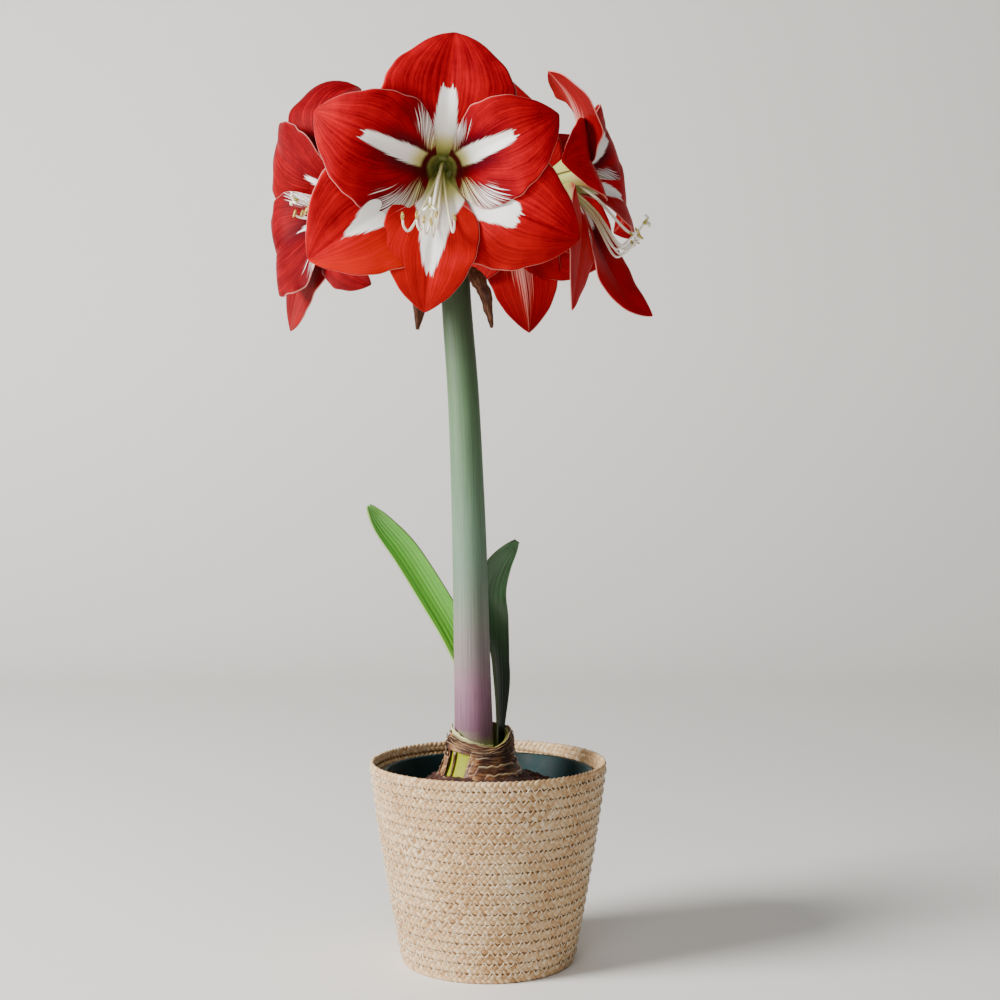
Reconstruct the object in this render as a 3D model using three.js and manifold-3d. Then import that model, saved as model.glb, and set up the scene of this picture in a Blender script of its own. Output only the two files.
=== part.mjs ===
// Amaryllis (Hippeastrum) in bloom: a bulb with one flower stalk, two young leaves and an umbel of four
// large star-striped flowers. It grows in a plastic grower's pot that stands in a coiled, braided basket.
//
// Units are millimetres, +Z is up, +X is right and +Y is away from the viewer that the first flower faces.
// The origin is the centre of the basket's underside.

import * as THREE from "three";
import { mergeVertices } from "three/addons/utils/BufferGeometryUtils.js";
import Module from "manifold-3d";

const wasm = await Module();
wasm.setup();

const { sin, cos, PI, abs, min, max, hypot } = Math;
const V = (x, y, z) => new THREE.Vector3(x, y, z);
const P = (x, y) => new THREE.Vector2(x, y);
const degrees = THREE.MathUtils.degToRad;
const smooth = THREE.MathUtils.smoothstep;

// ---------------------------------------------------------------- driving dimensions

const CLEARANCE = 0.35; // air between pieces that touch

const BASKET = {
  height: 144,
  baseRadius: 62.4, // to the crest of the lowest braid
  rimRadius: 85.9,
  bulge: 1.2, // the wall swells a little half way up
  wall: 5.5,
  floor: 5,
  rows: 19, // turns of the braid
  braidDepth: 1.6, // crest to groove
  rimRoll: 0.6, // the rim's braid stands out this much more
  footRound: 4,
  sides: 28,
};

const GROWER_POT = {
  height: 131, // from the pot's own foot to its rim
  baseRadius: 50,
  rimRadius: 74.5,
  wall: 1.4,
  lipWidth: 1.7,
  lipHeight: 5,
  drainHoles: 5,
  drainRadius: 4,
  sides: 32,
};

const SOIL = {
  edgeLevel: 112, // height above the ground at the pot's wall
  moundLevel: 130, // and against the bulb
  lumpHeight: 1.6,
  sides: 24,
};

const BULB = {
  centre: -5.5, // along X
  // radius and height, from the basal plate to the top of the neck
  profile: [
    [0, 60],
    [20, 60],
    [38, 68],
    [49, 84],
    [50, 97],
    [44, 112],
    [34, 125],
    [27, 136],
    [23.2, 147],
    [21.8, 157],
    [21.2, 163],
  ],
  holeRadius: 18.7, // the hollow of the neck, that the stalk and the leaves rise from
  holeFloor: 139,
  sides: 24,
};

const SKIN = {
  thickness: 1.1,
  gap: 0.45,
  foot: 118, // it starts under the soil
  top: 165, // and ends ragged around the neck
  ragged: 2.2,
  tearAngle: 240, // where it is torn open, in degrees around the bulb from +X
  tearHeight: 142,
  tearSize: [11, 11], // half its width and half its height
  tearDepth: 24,
  steps: 5,
};

const STALK = {
  // centre line, from inside the neck of the bulb to the umbel
  line: [
    [-9.2, -1.2, 140],
    [-9.6, -1.2, 160],
    [-10.9, -1, 203],
    [-13.2, 0, 290],
    [-15, 0, 345],
    [-18, 0, 410],
    [-22.5, 0, 470],
    [-24, 0, 506],
  ],
  baseRadius: 14.2,
  topRadius: 10.2,
  headRadius: 12.4, // the swelling that carries the flowers
};

const LEAF_THICKNESS = 2.2;
const PETAL_THICKNESS = 0.9;
const BRACT_THICKNESS = 0.8;

// ---------------------------------------------------------------- solids

// A geometry as a manifold solid, for joining and cutting.
function solid(geometry) {
  const bare = geometry.clone();
  bare.deleteAttribute("normal");
  bare.deleteAttribute("uv");
  const merged = mergeVertices(bare, 1e-4);
  return new wasm.Manifold(
    new wasm.Mesh({
      numProp: 3,
      vertProperties: merged.attributes.position.array,
      triVerts: new Uint32Array(merged.index.array),
    }),
  );
}

function geometryOf(body) {
  const mesh = body.getMesh();
  const geometry = new THREE.BufferGeometry();
  geometry.setAttribute(
    "position",
    new THREE.BufferAttribute(mesh.vertProperties, 3),
  );
  geometry.setIndex(new THREE.BufferAttribute(mesh.triVerts, 1));
  geometry.computeVertexNormals();
  return geometry;
}

const joined = (...geometries) =>
  geometryOf(geometries.map(solid).reduce((a, b) => a.add(b)));

const cut = (geometry, ...tools) =>
  geometryOf(tools.map(solid).reduce((a, b) => a.subtract(b), solid(geometry)));

// ---------------------------------------------------------------- shapes

// A closed sheet of even thickness. middle(u, v) gives the point of its middle surface, with u from 0
// to 1 along it and v from -1 to 1 across. Both faces are split into the same triangles.
function sheet(middle, thickness, along, across) {
  const step = 1e-3;
  const faces = [1, -1].map((side) =>
    Array.from({ length: (along + 1) * (across + 1) }, (_, k) => {
      const u = Math.floor(k / (across + 1)) / along;
      const v = (2 * (k % (across + 1))) / across - 1;
      const here = middle(u, v);
      const alongU = middle(min(u + step, 1), v).sub(middle(max(u - step, 0), v));
      const alongV = middle(u, min(v + step, 1)).sub(middle(u, max(v - step, -1)));
      return here.addScaledVector(
        alongV.cross(alongU).normalize(),
        (side * thickness) / 2,
      );
    }),
  );
  const at = (face, i, j) => face * (along + 1) * (across + 1) + i * (across + 1) + j;
  const index = [];
  const quad = (a, b, c, d) => index.push(a, b, c, a, c, d);
  for (let i = 0; i < along; i++)
    for (let j = 0; j < across; j++) {
      quad(at(0, i, j), at(0, i, j + 1), at(0, i + 1, j + 1), at(0, i + 1, j));
      const [a, b] = [at(1, i, j), at(1, i, j + 1)];
      const [c, d] = [at(1, i + 1, j + 1), at(1, i + 1, j)];
      index.push(a, c, b, a, d, c);
    }
  for (let i = 0; i < along; i++) {
    quad(at(0, i, 0), at(0, i + 1, 0), at(1, i + 1, 0), at(1, i, 0));
    quad(at(1, i, across), at(1, i + 1, across), at(0, i + 1, across), at(0, i, across));
  }
  for (let j = 0; j < across; j++) {
    quad(at(1, 0, j), at(1, 0, j + 1), at(0, 0, j + 1), at(0, 0, j));
    quad(at(0, along, j), at(0, along, j + 1), at(1, along, j + 1), at(1, along, j));
  }
  const geometry = new THREE.BufferGeometry().setFromPoints(faces.flat());
  geometry.setIndex(index);
  return geometry;
}

// A closed rod along a curve, whose radius is radiusAt(t), with t from 0 to 1.
function rod(curve, radiusAt, sides, steps) {
  const geometry = new THREE.CylinderGeometry(1, 1, 1, sides, steps);
  const { normals, binormals } = curve.computeFrenetFrames(steps);
  const position = geometry.attributes.position;
  for (let k = 0; k < position.count; k++) {
    const t = 0.5 - position.getY(k);
    const frame = Math.round(t * steps);
    const spot = curve.getPointAt(t);
    spot.addScaledVector(normals[frame], radiusAt(t) * position.getX(k));
    spot.addScaledVector(binormals[frame], radiusAt(t) * position.getZ(k));
    position.setXYZ(k, spot.x, spot.y, spot.z);
  }
  const body = solid(geometry);
  return body.volume() > 0 ? geometry : flipped(geometry);
}

function flipped(geometry) {
  const index = geometry.index.array;
  for (let k = 0; k < index.length; k += 3)
    [index[k + 1], index[k + 2]] = [index[k + 2], index[k + 1]];
  return geometry;
}

// A turned shape about +Z, from an outline of radius and height.
const upright = (outline, sides) =>
  new THREE.LatheGeometry(outline, sides).rotateX(PI / 2);

const curveThrough = (points) =>
  new THREE.CatmullRomCurve3(points.map((p) => V(...p)));

// ---------------------------------------------------------------- basket, pot and soil

const { lerp } = THREE.MathUtils;

// Outer radius of the basket at a height, to the crests of the braid.
const basketRadius = (z) =>
  lerp(BASKET.baseRadius, BASKET.rimRadius, z / BASKET.height) +
  BASKET.bulge * sin((PI * z) / BASKET.height);

// One braid wound from the floor to the rim: each turn is a ridge of the wall.
function basket() {
  const { height, wall, floor, rows, braidDepth, rimRoll, footRound, sides } = BASKET;
  const pitch = height / rows;
  const outline = [P(0, 0), P(basketRadius(0) - footRound, 0)];
  for (let row = 0; row < rows; row++) {
    const z = (row + 0.5) * pitch;
    const roll = row === rows - 1 ? rimRoll : 0;
    outline.push(P(basketRadius(z) + roll, z));
    if (row < rows - 1) outline.push(P(basketRadius(z) - braidDepth, z + pitch / 2));
  }
  outline.push(P(basketRadius(height) - wall * 0.35, height));
  outline.push(P(basketRadius(height) - wall, height - pitch * 0.3));
  outline.push(P(basketRadius(floor) - wall, floor), P(0, floor));
  return upright(outline, sides);
}

const potFoot = BASKET.floor + CLEARANCE;

// Outer radius of the grower's pot at a height above the ground.
const potRadius = (z) =>
  lerp(GROWER_POT.baseRadius, GROWER_POT.rimRadius, (z - potFoot) / GROWER_POT.height);

function growerPot() {
  const { height, wall, lipWidth, lipHeight, drainHoles, drainRadius, sides } = GROWER_POT;
  const rim = potFoot + height;
  const lip = rim - lipHeight;
  const outline = [
    P(0, potFoot),
    P(potRadius(potFoot), potFoot),
    P(potRadius(lip), lip),
    P(potRadius(lip) + lipWidth, lip),
    P(potRadius(rim) + lipWidth, rim),
    P(potRadius(rim) - wall, rim),
    P(potRadius(potFoot + wall) - wall, potFoot + wall),
    P(0, potFoot + wall),
  ];
  const drains = Array.from({ length: drainHoles }, (_, k) => {
    const hole = new THREE.CylinderGeometry(drainRadius, drainRadius, 6 * wall, 8);
    hole.rotateX(PI / 2);
    hole.translate(0.6 * GROWER_POT.baseRadius, 0, potFoot);
    return hole.rotateZ((2 * PI * k) / drainHoles);
  });
  return cut(upright(outline, sides), ...drains);
}

// Radius of the bulb at a height.
function bulbRadius(z) {
  const { profile } = BULB;
  const k = profile.findIndex(([, height], i) => i > 1 && height >= z);
  const [[r0, z0], [r1, z1]] = k < 0 ? profile.slice(-2) : profile.slice(k - 1, k + 1);
  return lerp(r0, r1, min(1, (z - z0) / (z1 - z0)));
}

// The bulb's outline, swollen by a margin, up to a height.
function bulbShape(margin) {
  const outline = BULB.profile.map(([r, z]) => P(r ? r + margin : 0, z));
  outline[0].y -= margin;
  outline[1].y -= margin;
  outline.push(P(0, outline.at(-1).y));
  return upright(outline, BULB.sides).translate(BULB.centre, 0, 0);
}

// Peat that fills the pot, heaped against the bulb, with a plain hole where the bulb sits.
function pottingSoil() {
  const { edgeLevel, moundLevel, lumpHeight, sides } = SOIL;
  const gap = GROWER_POT.wall + CLEARANCE;
  const foot = potFoot + gap;
  const edge = potRadius(edgeLevel) - gap;
  const outline = [P(0, foot), P(potRadius(foot) - gap, foot), P(edge, edgeLevel)];
  for (const share of [0.88, 0.75, 0.62, 0.5, 0])
    outline.push(P(edge * share, lerp(moundLevel, edgeLevel, share ** 2.5)));
  const geometry = upright(outline, sides);
  const position = geometry.attributes.position;
  for (let k = 0; k < position.count; k++) {
    const [x, y, z] = [position.getX(k), position.getY(k), position.getZ(k)];
    const free = z > edgeLevel + 0.1 && hypot(x, y) > 1 ? 1 : 0;
    position.setZ(k, z + free * lumpHeight * sin(0.21 * x + 2) * cos(0.26 * y - 1));
  }
  return cut(geometry, bulbShape(SKIN.gap + SKIN.thickness + 2 * CLEARANCE));
}

// ---------------------------------------------------------------- bulb, stalk and leaves

function bulb() {
  const { centre, profile, holeRadius, holeFloor, sides } = BULB;
  const depth = profile.at(-1)[1] - holeFloor;
  const hole = new THREE.CylinderGeometry(holeRadius, holeRadius, 2 * depth, sides);
  hole.rotateX(PI / 2).translate(centre, 0, holeFloor + depth);
  return cut(bulbShape(0), hole);
}

// Height of the skin's ragged top edge, at an angle in radians around the bulb.
const skinTop = (angle) =>
  SKIN.top + SKIN.ragged * (0.6 * sin(3 * angle + 1) + 0.4 * sin(7 * angle));

// The dry papery skin: a thin collar around the shoulder and neck, torn open on one side.
function bulbSkin() {
  const { thickness, gap, foot, tearAngle, tearHeight, tearSize, tearDepth, steps } = SKIN;
  const levels = Array.from({ length: steps + 1 }, (_, k) => k / steps);
  const outline = levels.map((t) => P(2, t));
  outline.push(...levels.reverse().map((t) => P(1, t)), P(2, 0));
  const geometry = upright(outline, BULB.sides);
  const position = geometry.attributes.position;
  for (let k = 0; k < position.count; k++) {
    const [x, y, t] = [position.getX(k), position.getY(k), position.getZ(k)];
    const angle = Math.atan2(y, x);
    const z = lerp(foot, skinTop(angle), t);
    const radius = bulbRadius(z) + gap + (hypot(x, y) > 1.5 ? thickness : 0);
    position.setXYZ(k, BULB.centre + radius * cos(angle), radius * sin(angle), z);
  }
  const tear = new THREE.CylinderGeometry(1, 0.6, tearDepth, 9);
  tear.rotateZ(PI / 2).scale(1, ...tearSize).translate(bulbRadius(tearHeight), 0, tearHeight);
  tear.rotateZ(degrees(tearAngle)).translate(BULB.centre, 0, 0);
  return cut(geometry, tear);
}

function flowerStalk() {
  const { line, baseRadius, topRadius, headRadius } = STALK;
  const swelling = headRadius - topRadius;
  return rod(
    curveThrough(line),
    (t) => lerp(baseRadius, topRadius, t ** 0.8) + swelling * smooth(t, 0.95, 0.985),
    14,
    14,
  );
}

// A strap along a line. half(u) is its half width, facing(u) the bearing of its width in degrees from
// +X, and channel how deep its middle is folded, as a share of the half width.
function strap({ line, half, facing, channel, thickness, along, across }) {
  const curve = curveThrough(line);
  const middle = (u, v) => {
    const run = curve.getTangent(u);
    const bearing = degrees(facing(u));
    const width = V(cos(bearing), sin(bearing), 0);
    width.addScaledVector(run, -width.dot(run)).normalize();
    const hollow = width.clone().cross(run);
    return curve
      .getPoint(u)
      .addScaledVector(width, half(u) * v)
      .addScaledVector(hollow, channel * half(u) * v * v);
  };
  return sheet(middle, thickness, along, across);
}

// Half width of a strap-shaped leaf: narrow in the neck, even above, and rounded off to a blunt point.
const leafHalf = (foot, full) => (u) => {
  const toPoint = max(0, (u - 0.55) / 0.45);
  const width = lerp(foot, full, smooth(u, 0.12, 0.4));
  return width * max(0.08, (1 - toPoint ** 2.4) ** 0.6);
};

const LEAF_LEFT = {
  line: [
    [-8, 15.2, 143],
    [-8, 15.6, 165],
    [-10, 19, 200],
    [-22, 22, 229],
    [-38, 22, 257],
    [-60, 21, 292],
    [-76, 19, 312],
    [-87.5, 17, 327],
  ],
  half: leafHalf(6.5, 10.6),
  facing: () => 0,
  channel: 0.3,
};

const LEAF_RIGHT = {
  line: [
    [7.0, 1, 143],
    [7.6, 2, 165],
    [7.4, 8, 190],
    [5.6, 15, 215],
    [2.4, 23, 240],
    [0.4, 24, 262],
    [7, 22, 282],
    [21, 19, 301],
  ],
  half: leafHalf(5.5, 13),
  facing: (u) => lerp(84, 8, smooth(u, 0.4, 0.78)),
  channel: 0.3,
};

const leaf = (shape) =>
  strap({ ...shape, thickness: LEAF_THICKNESS, along: 12, across: 4 });

// The two dry bracts that wrapped the buds and now hang from the top of the stalk.
const BRACT_RIGHT = {
  line: [
    [-13, -7.5, 498],
    [-5, -12, 491],
    [0, -13, 478],
    [3, -11, 454],
  ],
  facing: () => 20,
};

const BRACT_LEFT = {
  line: [
    [-38.4, -3, 498],
    [-43.5, -5, 491],
    [-48, -7, 476],
    [-50.5, -9, 453],
  ],
  facing: () => -20,
};

const BRACT_HALF_WIDTH = 8.2;

const bract = (shape) =>
  strap({
    ...shape,
    half: (u) => lerp(0.6, BRACT_HALF_WIDTH, sin(PI * (0.12 + 0.86 * u ** 0.8))),
    channel: 0.45,
    thickness: BRACT_THICKNESS,
    along: 8,
    across: 4,
  });

// ---------------------------------------------------------------- flowers

// Half width of a petal at u, as a share of its widest: narrow in the tube, broad past the middle, and
// drawn to a point.
function petalOutline(u, widest, base, point) {
  if (u < widest) {
    const t = u / widest;
    return base + (1 - base) * sin((PI / 2) * t ** 2.2);
  }
  const t = (u - widest) / (1 - widest);
  return max(0.02, (1 - t ** 2.2) ** point);
}

const PETAL = {
  clock: 0, // where it points on the flower's face, clockwise from the top, in degrees
  inner: false, // one of the inner three, which stand in front of the outer three
  rootRadius: 7.4,
  reach: 90, // how far its tip stands from the flower's axis
  rise: 38, // how far the tube holds it forward before it spreads
  belly: 84, // how far forward its shoulder is drawn
  shoulder: 48, // and how far out
  tip: 56, // how far forward its tip ends
  left: 40, // half widths on its two sides
  right: 40,
  widestLeft: 0.55, // and where along the petal they are reached
  widestRight: 0.55,
  base: 0.12,
  point: 0.82,
  bend: 0, // sideways drift of its tip
  twist: 0, // degrees
  keel: 8, // each half is folded forward from the midrib by this many degrees
  cup: 0.002, // curvature across, 1/mm
  roll: -0.1, // the margins turn back, as a share of the half width
  ruffle: 0.05,
  waves: 2,
  phase: 0,
};

const INNER_PETAL = { rootRadius: 5, rise: 42, belly: 92, left: 34, right: 34 };

// The middle surface of a petal, in the flower's own frame: its axis is +Z and its top is +Y.
function petalSurface(settings) {
  const p = { ...PETAL, ...(settings.inner ? INNER_PETAL : {}), ...settings };
  const clock = degrees(p.clock);
  const radial = V(sin(clock), cos(clock), 0);
  const side = V(cos(clock), -sin(clock), 0);
  const axis = V(0, 0, 1);
  const rib = new THREE.CubicBezierCurve(
    P(p.rootRadius, 0),
    P(p.rootRadius + 5, p.rise),
    P(p.shoulder, p.belly),
    P(p.reach, p.tip),
  );
  return (u, v) => {
    const spot = rib.getPoint(u);
    const run = rib.getTangent(u);
    const [width, widest] = v < 0 ? [p.left, p.widestLeft] : [p.right, p.widestRight];
    const half = width * petalOutline(u, widest, p.base, p.point);
    const s = abs(v) * half;
    const inTube = 1 - smooth(u, 0.2, 0.6);
    const curl = (inTube * run.y) / spot.x + (1 - inTube) * p.cup + 1e-6;
    const fold = degrees(p.keel) * smooth(u, 0.15, 0.5);
    let out = sin(curl * s) / curl;
    let up = (1 - cos(curl * s)) / curl;
    [out, up] = [out * cos(fold) - up * sin(fold), out * sin(fold) + up * cos(fold)];
    const free = smooth(u, 0.25, 0.6);
    up += free * p.roll * half * abs(v) ** 3;
    const wave = sin(2 * PI * p.waves * u + p.phase + (v < 0 ? 0 : 1.7));
    up += free * p.ruffle * half * v * v * wave;
    const twist = degrees(p.twist) * u * u;
    const across = Math.sign(v) * out;
    const lateral = across * cos(twist) - up * sin(twist) + p.bend * u * u;
    const lift = across * sin(twist) + up * cos(twist);
    const normal = radial.clone().multiplyScalar(-run.y).addScaledVector(axis, run.x);
    return radial
      .clone()
      .multiplyScalar(spot.x)
      .addScaledVector(axis, spot.y)
      .addScaledVector(side, lateral)
      .addScaledVector(normal, lift);
  };
}

const TUBE = { foot: -3, rim: 5, footRadius: 7, rimRadius: 9.6, boreRadius: 3.9 };

// The short tube that the six petals grow from, closed at its foot.
function petalTube() {
  const { foot, rim, footRadius, rimRadius, boreRadius } = TUBE;
  const outline = [
    P(0, foot),
    P(footRadius, foot),
    P(rimRadius, rim),
    P(boreRadius, rim),
    P(boreRadius, 0),
    P(0, 0),
  ];
  return upright(outline, 18);
}

const perianth = (petals) =>
  joined(
    petalTube(),
    ...petals.map((p) => sheet(petalSurface(p), PETAL_THICKNESS, 8, 4)),
  );

// Six stamens that sweep down along the lowest petal and curl up at their ends, one piece joined at
// their roots. Each row of places puts an anther to the right of, above and in front of their middle.
const STAMEN = {
  rootRadius: 3.4,
  rootLength: 3,
  thickness: 1.15, // radius at the root
  taper: 0.35,
  anther: [1.3, 3.6, 1.4], // half sizes
  nod: -0.4, // radians
  places: [
    [-24, 1, 3],
    [-15, 1, -2],
    [-10.5, -1, 3],
    [-6, -3, -4],
    [-2.5, 2, 1],
    [9, 0, -2],
  ],
};

function stamens({ drop, forward, sag }) {
  const { rootRadius, rootLength, thickness, taper, nod } = STAMEN;
  const root = new THREE.CylinderGeometry(rootRadius, rootRadius, rootLength, 10);
  root.rotateX(PI / 2).translate(0, 0, CLEARANCE + rootLength / 2);
  const parts = STAMEN.places.flatMap(([x, up, ahead]) => {
    const [y, z] = [up - drop, forward + ahead];
    const line = curveThrough([
      [x * 0.04, -1.5, 1],
      [x * 0.1, -4, z * 0.26],
      [x * 0.35, y * 0.5 - 0.4 * sag, z * 0.56],
      [x * 0.8, y - sag, z - 15],
      [x * 0.97, y - 0.8 * sag, z - 5],
      [x, y, z],
    ]);
    const anther = new THREE.SphereGeometry(1, 4, 4);
    anther.scale(...STAMEN.anther).rotateX(nod).translate(x, y + 1, z);
    return [rod(line, (t) => thickness - taper * t, 4, 6), anther];
  });
  return joined(root, ...parts);
}

// The style is longer than the stamens and ends in a stigma of three curled lobes.
const STIGMA = {
  place: [-6, 9, 9], // right of, above and in front of the middle of the anthers
  lobe: 5.4, // how far a lobe spreads
};

function style({ drop, forward }) {
  const [x, y, z] = [STIGMA.place[0], STIGMA.place[1] - drop, STIGMA.place[2] + forward];
  const line = curveThrough([
    [0, 1.6, CLEARANCE + 4],
    [0, 2.4, z * 0.24],
    [x * 0.4, y * 0.4, z * 0.54],
    [x * 0.8, y - 3, z * 0.8],
    [x, y, z],
  ]);
  const lobes = [90, 210, 330].map((turn) => {
    const a = degrees(turn);
    const spread = (r, ahead) => [x + r * cos(a), y + r * sin(a), z + ahead];
    const lobe = curveThrough([
      [x, y, z - 1.5],
      spread(STIGMA.lobe / 2, 2.2),
      spread(STIGMA.lobe, 1.2),
    ]);
    return rod(lobe, (t) => 1.2 - 0.5 * t, 4, 3);
  });
  return joined(rod(line, (t) => 1.3 - 0.2 * t, 4, 7), ...lobes);
}

const UMBEL = V(...STALK.line.at(-1));

const FLOWERS = {
  front: {
    heading: 1, // 0 faces -Y, 90 faces +X
    droop: 13, // below the horizontal
    drop: 29, // how far the stamens hang below the flower's axis
    forward: 84, // and how far they reach out along it
    sag: 8, // how far they dip before they curl up
    place: [-31, -48, 561],
    petals: [
      { clock: 6, reach: 88, left: 46, right: 48, tip: 34, belly: 84, point: 0.7 },
      { clock: 112, reach: 101, left: 40, right: 46, bend: 6 },
      { clock: 241, reach: 104, left: 40, right: 46, bend: -8, tip: 62, widestRight: 0.62 },
      { clock: 59, reach: 84, left: 29, right: 39, bend: 8, inner: true, belly: 90, tip: 62,
        widestRight: 0.42, widestLeft: 0.62 },
      { clock: 187, reach: 93, left: 31, right: 34, inner: true, belly: 88 },
      { clock: 299, reach: 89, left: 45, right: 35, bend: -6, inner: true, belly: 90, tip: 62,
        widestLeft: 0.45 },
    ],
  },
  left: {
    heading: -62,
    droop: 6,
    drop: 4,
    forward: 56,
    sag: 3,
    place: [-74, -6, 543],
    petals: [
      { clock: 314, reach: 82, left: 34, right: 34, belly: 70, tip: 52, point: 0.6 },
      { clock: 228, reach: 121, left: 30, right: 26, belly: 58, tip: 46 },
      { clock: 80, reach: 66, left: 36, right: 36, belly: 60, tip: 14 },
      { clock: 352, reach: 84, left: 40, right: 34, inner: true, belly: 54, shoulder: 80, tip: 8,
        widestLeft: 0.7, twist: -35, bend: 4, point: 0.5 },
      { clock: 146, reach: 72, left: 30, right: 30, inner: true, belly: 66, tip: 34 },
      { clock: 243, reach: 70, left: 50, right: 34, inner: true, belly: 86, tip: 56, twist: -12 },
    ],
  },
  right: {
    heading: 78,
    droop: -16,
    drop: 58,
    forward: 56,
    sag: 3,
    place: [38, -2, 556],
    petals: [
      { clock: 328, reach: 77, left: 44, right: 40, belly: 50, shoulder: 38, tip: 32, twist: -40 },
      { clock: 116, reach: 80, left: 36, right: 32, belly: 72, tip: 34 },
      { clock: 208, reach: 112, left: 26, right: 34, belly: 24, shoulder: 46, tip: 4 },
      { clock: 50, reach: 76, left: 24, right: 32, inner: true, belly: 68, tip: 42 },
      { clock: 162, reach: 114, left: 27, right: 27, inner: true, belly: 10, shoulder: 70, tip: 48,
        twist: -35 },
      { clock: 268, reach: 62, left: 30, right: 30, inner: true, belly: 58, tip: 26 },
    ],
  },
  back: {
    heading: 168,
    droop: 0,
    drop: 30,
    forward: 84,
    sag: 6,
    place: [6, 46, 560],
    petals: [
      { clock: 0, reach: 92, left: 42, right: 42, belly: 72, shoulder: 30, tip: 20 },
      { clock: 120, reach: 90, left: 40, right: 40 },
      { clock: 240, reach: 90, left: 40, right: 40 },
      { clock: 60, reach: 86, left: 36, right: 36, inner: true, belly: 88 },
      { clock: 188, reach: 101, left: 31, right: 31, inner: true, belly: 88 },
      { clock: 300, reach: 86, left: 36, right: 36, inner: true, belly: 88 },
    ],
  },
};

const FLORET_STALK = {
  offset: 6.8, // from the middle of the umbel
  radius: 3.8,
  ovary: 2.6, // how much the ovary swells
  rise: 36, // how straight it leaves the umbel
  approach: 30, // and how straight it meets the flower
};

// The green stalk of one flower: it rises from the umbel, leans out and swells into the ovary behind
// the flower. foot is the middle of the flower's foot and axis the way that the flower faces.
function floretStalk(foot, axis) {
  const { offset, radius, ovary, rise, approach } = FLORET_STALK;
  const out = V(axis.x, axis.y, 0).normalize();
  const start = UMBEL.clone().addScaledVector(out, offset).setZ(UMBEL.z + 2 * CLEARANCE);
  const end = foot.clone().addScaledVector(axis, -CLEARANCE);
  const line = new THREE.CubicBezierCurve3(
    start,
    start.clone().add(V(0, 0, rise)),
    end.clone().addScaledVector(axis, -approach),
    end,
  );
  const swelling = (t) => smooth(t, 0.66, 0.84) - 0.35 * smooth(t, 0.88, 1);
  return rod(line, (t) => radius + ovary * swelling(t), 8, 11);
}

// ---------------------------------------------------------------- assembly

const surface = (name, color, roughness) =>
  new THREE.MeshStandardMaterial({ name, color, roughness, metalness: 0 });

const MATERIALS = {
  straw: surface("braided_straw", "#b7a384", 0.85),
  plastic: surface("green_plastic", "#1d3b33", 0.35),
  peat: surface("moist_peat", "#3a2419", 0.95),
  flesh: surface("bulb_flesh", "#c9c48a", 0.55),
  skin: surface("papery_skin", "#7a4426", 0.8),
  stalk: surface("stalk_green", "#6f8b6c", 0.45),
  leaf: surface("leaf_green", "#5c8a2f", 0.45),
  bract: surface("dry_bract", "#6b4328", 0.85),
  petal: surface("petal_red", "#c9110d", 0.5),
  filament: surface("stamen_white", "#efe9d8", 0.5),
  style: surface("style_white", "#f3efe6", 0.5),
  floret: surface("floret_stalk_green", "#86a25c", 0.45),
};

const amaryllis = new THREE.Group();

function addPiece(parent, name, geometry, material) {
  const mesh = new THREE.Mesh(geometry, material);
  mesh.name = name;
  parent.add(mesh);
}

addPiece(amaryllis, "basket", basket(), MATERIALS.straw);
addPiece(amaryllis, "grower_pot", growerPot(), MATERIALS.plastic);
addPiece(amaryllis, "potting_soil", pottingSoil(), MATERIALS.peat);
addPiece(amaryllis, "bulb", bulb(), MATERIALS.flesh);
addPiece(amaryllis, "bulb_skin", bulbSkin(), MATERIALS.skin);
addPiece(amaryllis, "flower_stalk", flowerStalk(), MATERIALS.stalk);
addPiece(amaryllis, "leaf_left", leaf(LEAF_LEFT), MATERIALS.leaf);
addPiece(amaryllis, "leaf_right", leaf(LEAF_RIGHT), MATERIALS.leaf);
addPiece(amaryllis, "bract_left", bract(BRACT_LEFT), MATERIALS.bract);
addPiece(amaryllis, "bract_right", bract(BRACT_RIGHT), MATERIALS.bract);

for (const [name, flower] of Object.entries(FLOWERS)) {
  const head = new THREE.Group();
  head.position.set(...flower.place);
  head.rotation.set(PI / 2 + degrees(flower.droop), 0, degrees(flower.heading), "ZXY");
  amaryllis.add(head);
  addPiece(head, `flower_${name}_petals`, perianth(flower.petals), MATERIALS.petal);
  addPiece(head, `flower_${name}_stamens`, stamens(flower), MATERIALS.filament);
  addPiece(head, `flower_${name}_style`, style(flower), MATERIALS.style);
  const axis = V(0, 0, 1).applyEuler(head.rotation);
  const foot = head.position.clone().addScaledVector(axis, TUBE.foot);
  addPiece(amaryllis, `flower_${name}_stalk`, floretStalk(foot, axis), MATERIALS.floret);
}

export default amaryllis;
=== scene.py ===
# %% [markdown]
# # An amaryllis in a pot
#
# The plant stands in a plastic pot, and the pot in a basket of plaited straw. The frame that this
# lesson loads holds plain solids at the right size and place. Each cell below swaps one of them for
# a finer piece of the same form, and gives it a finish made of nodes. Lengths are in millimetres
# until the last step, because that is how a plant is measured, and Blender's own unit is the metre.

from math import cos, exp, hypot, pi, radians, sin, sqrt
from random import Random

import bmesh
import bpy
from mathutils import Matrix, Vector, noise


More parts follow.
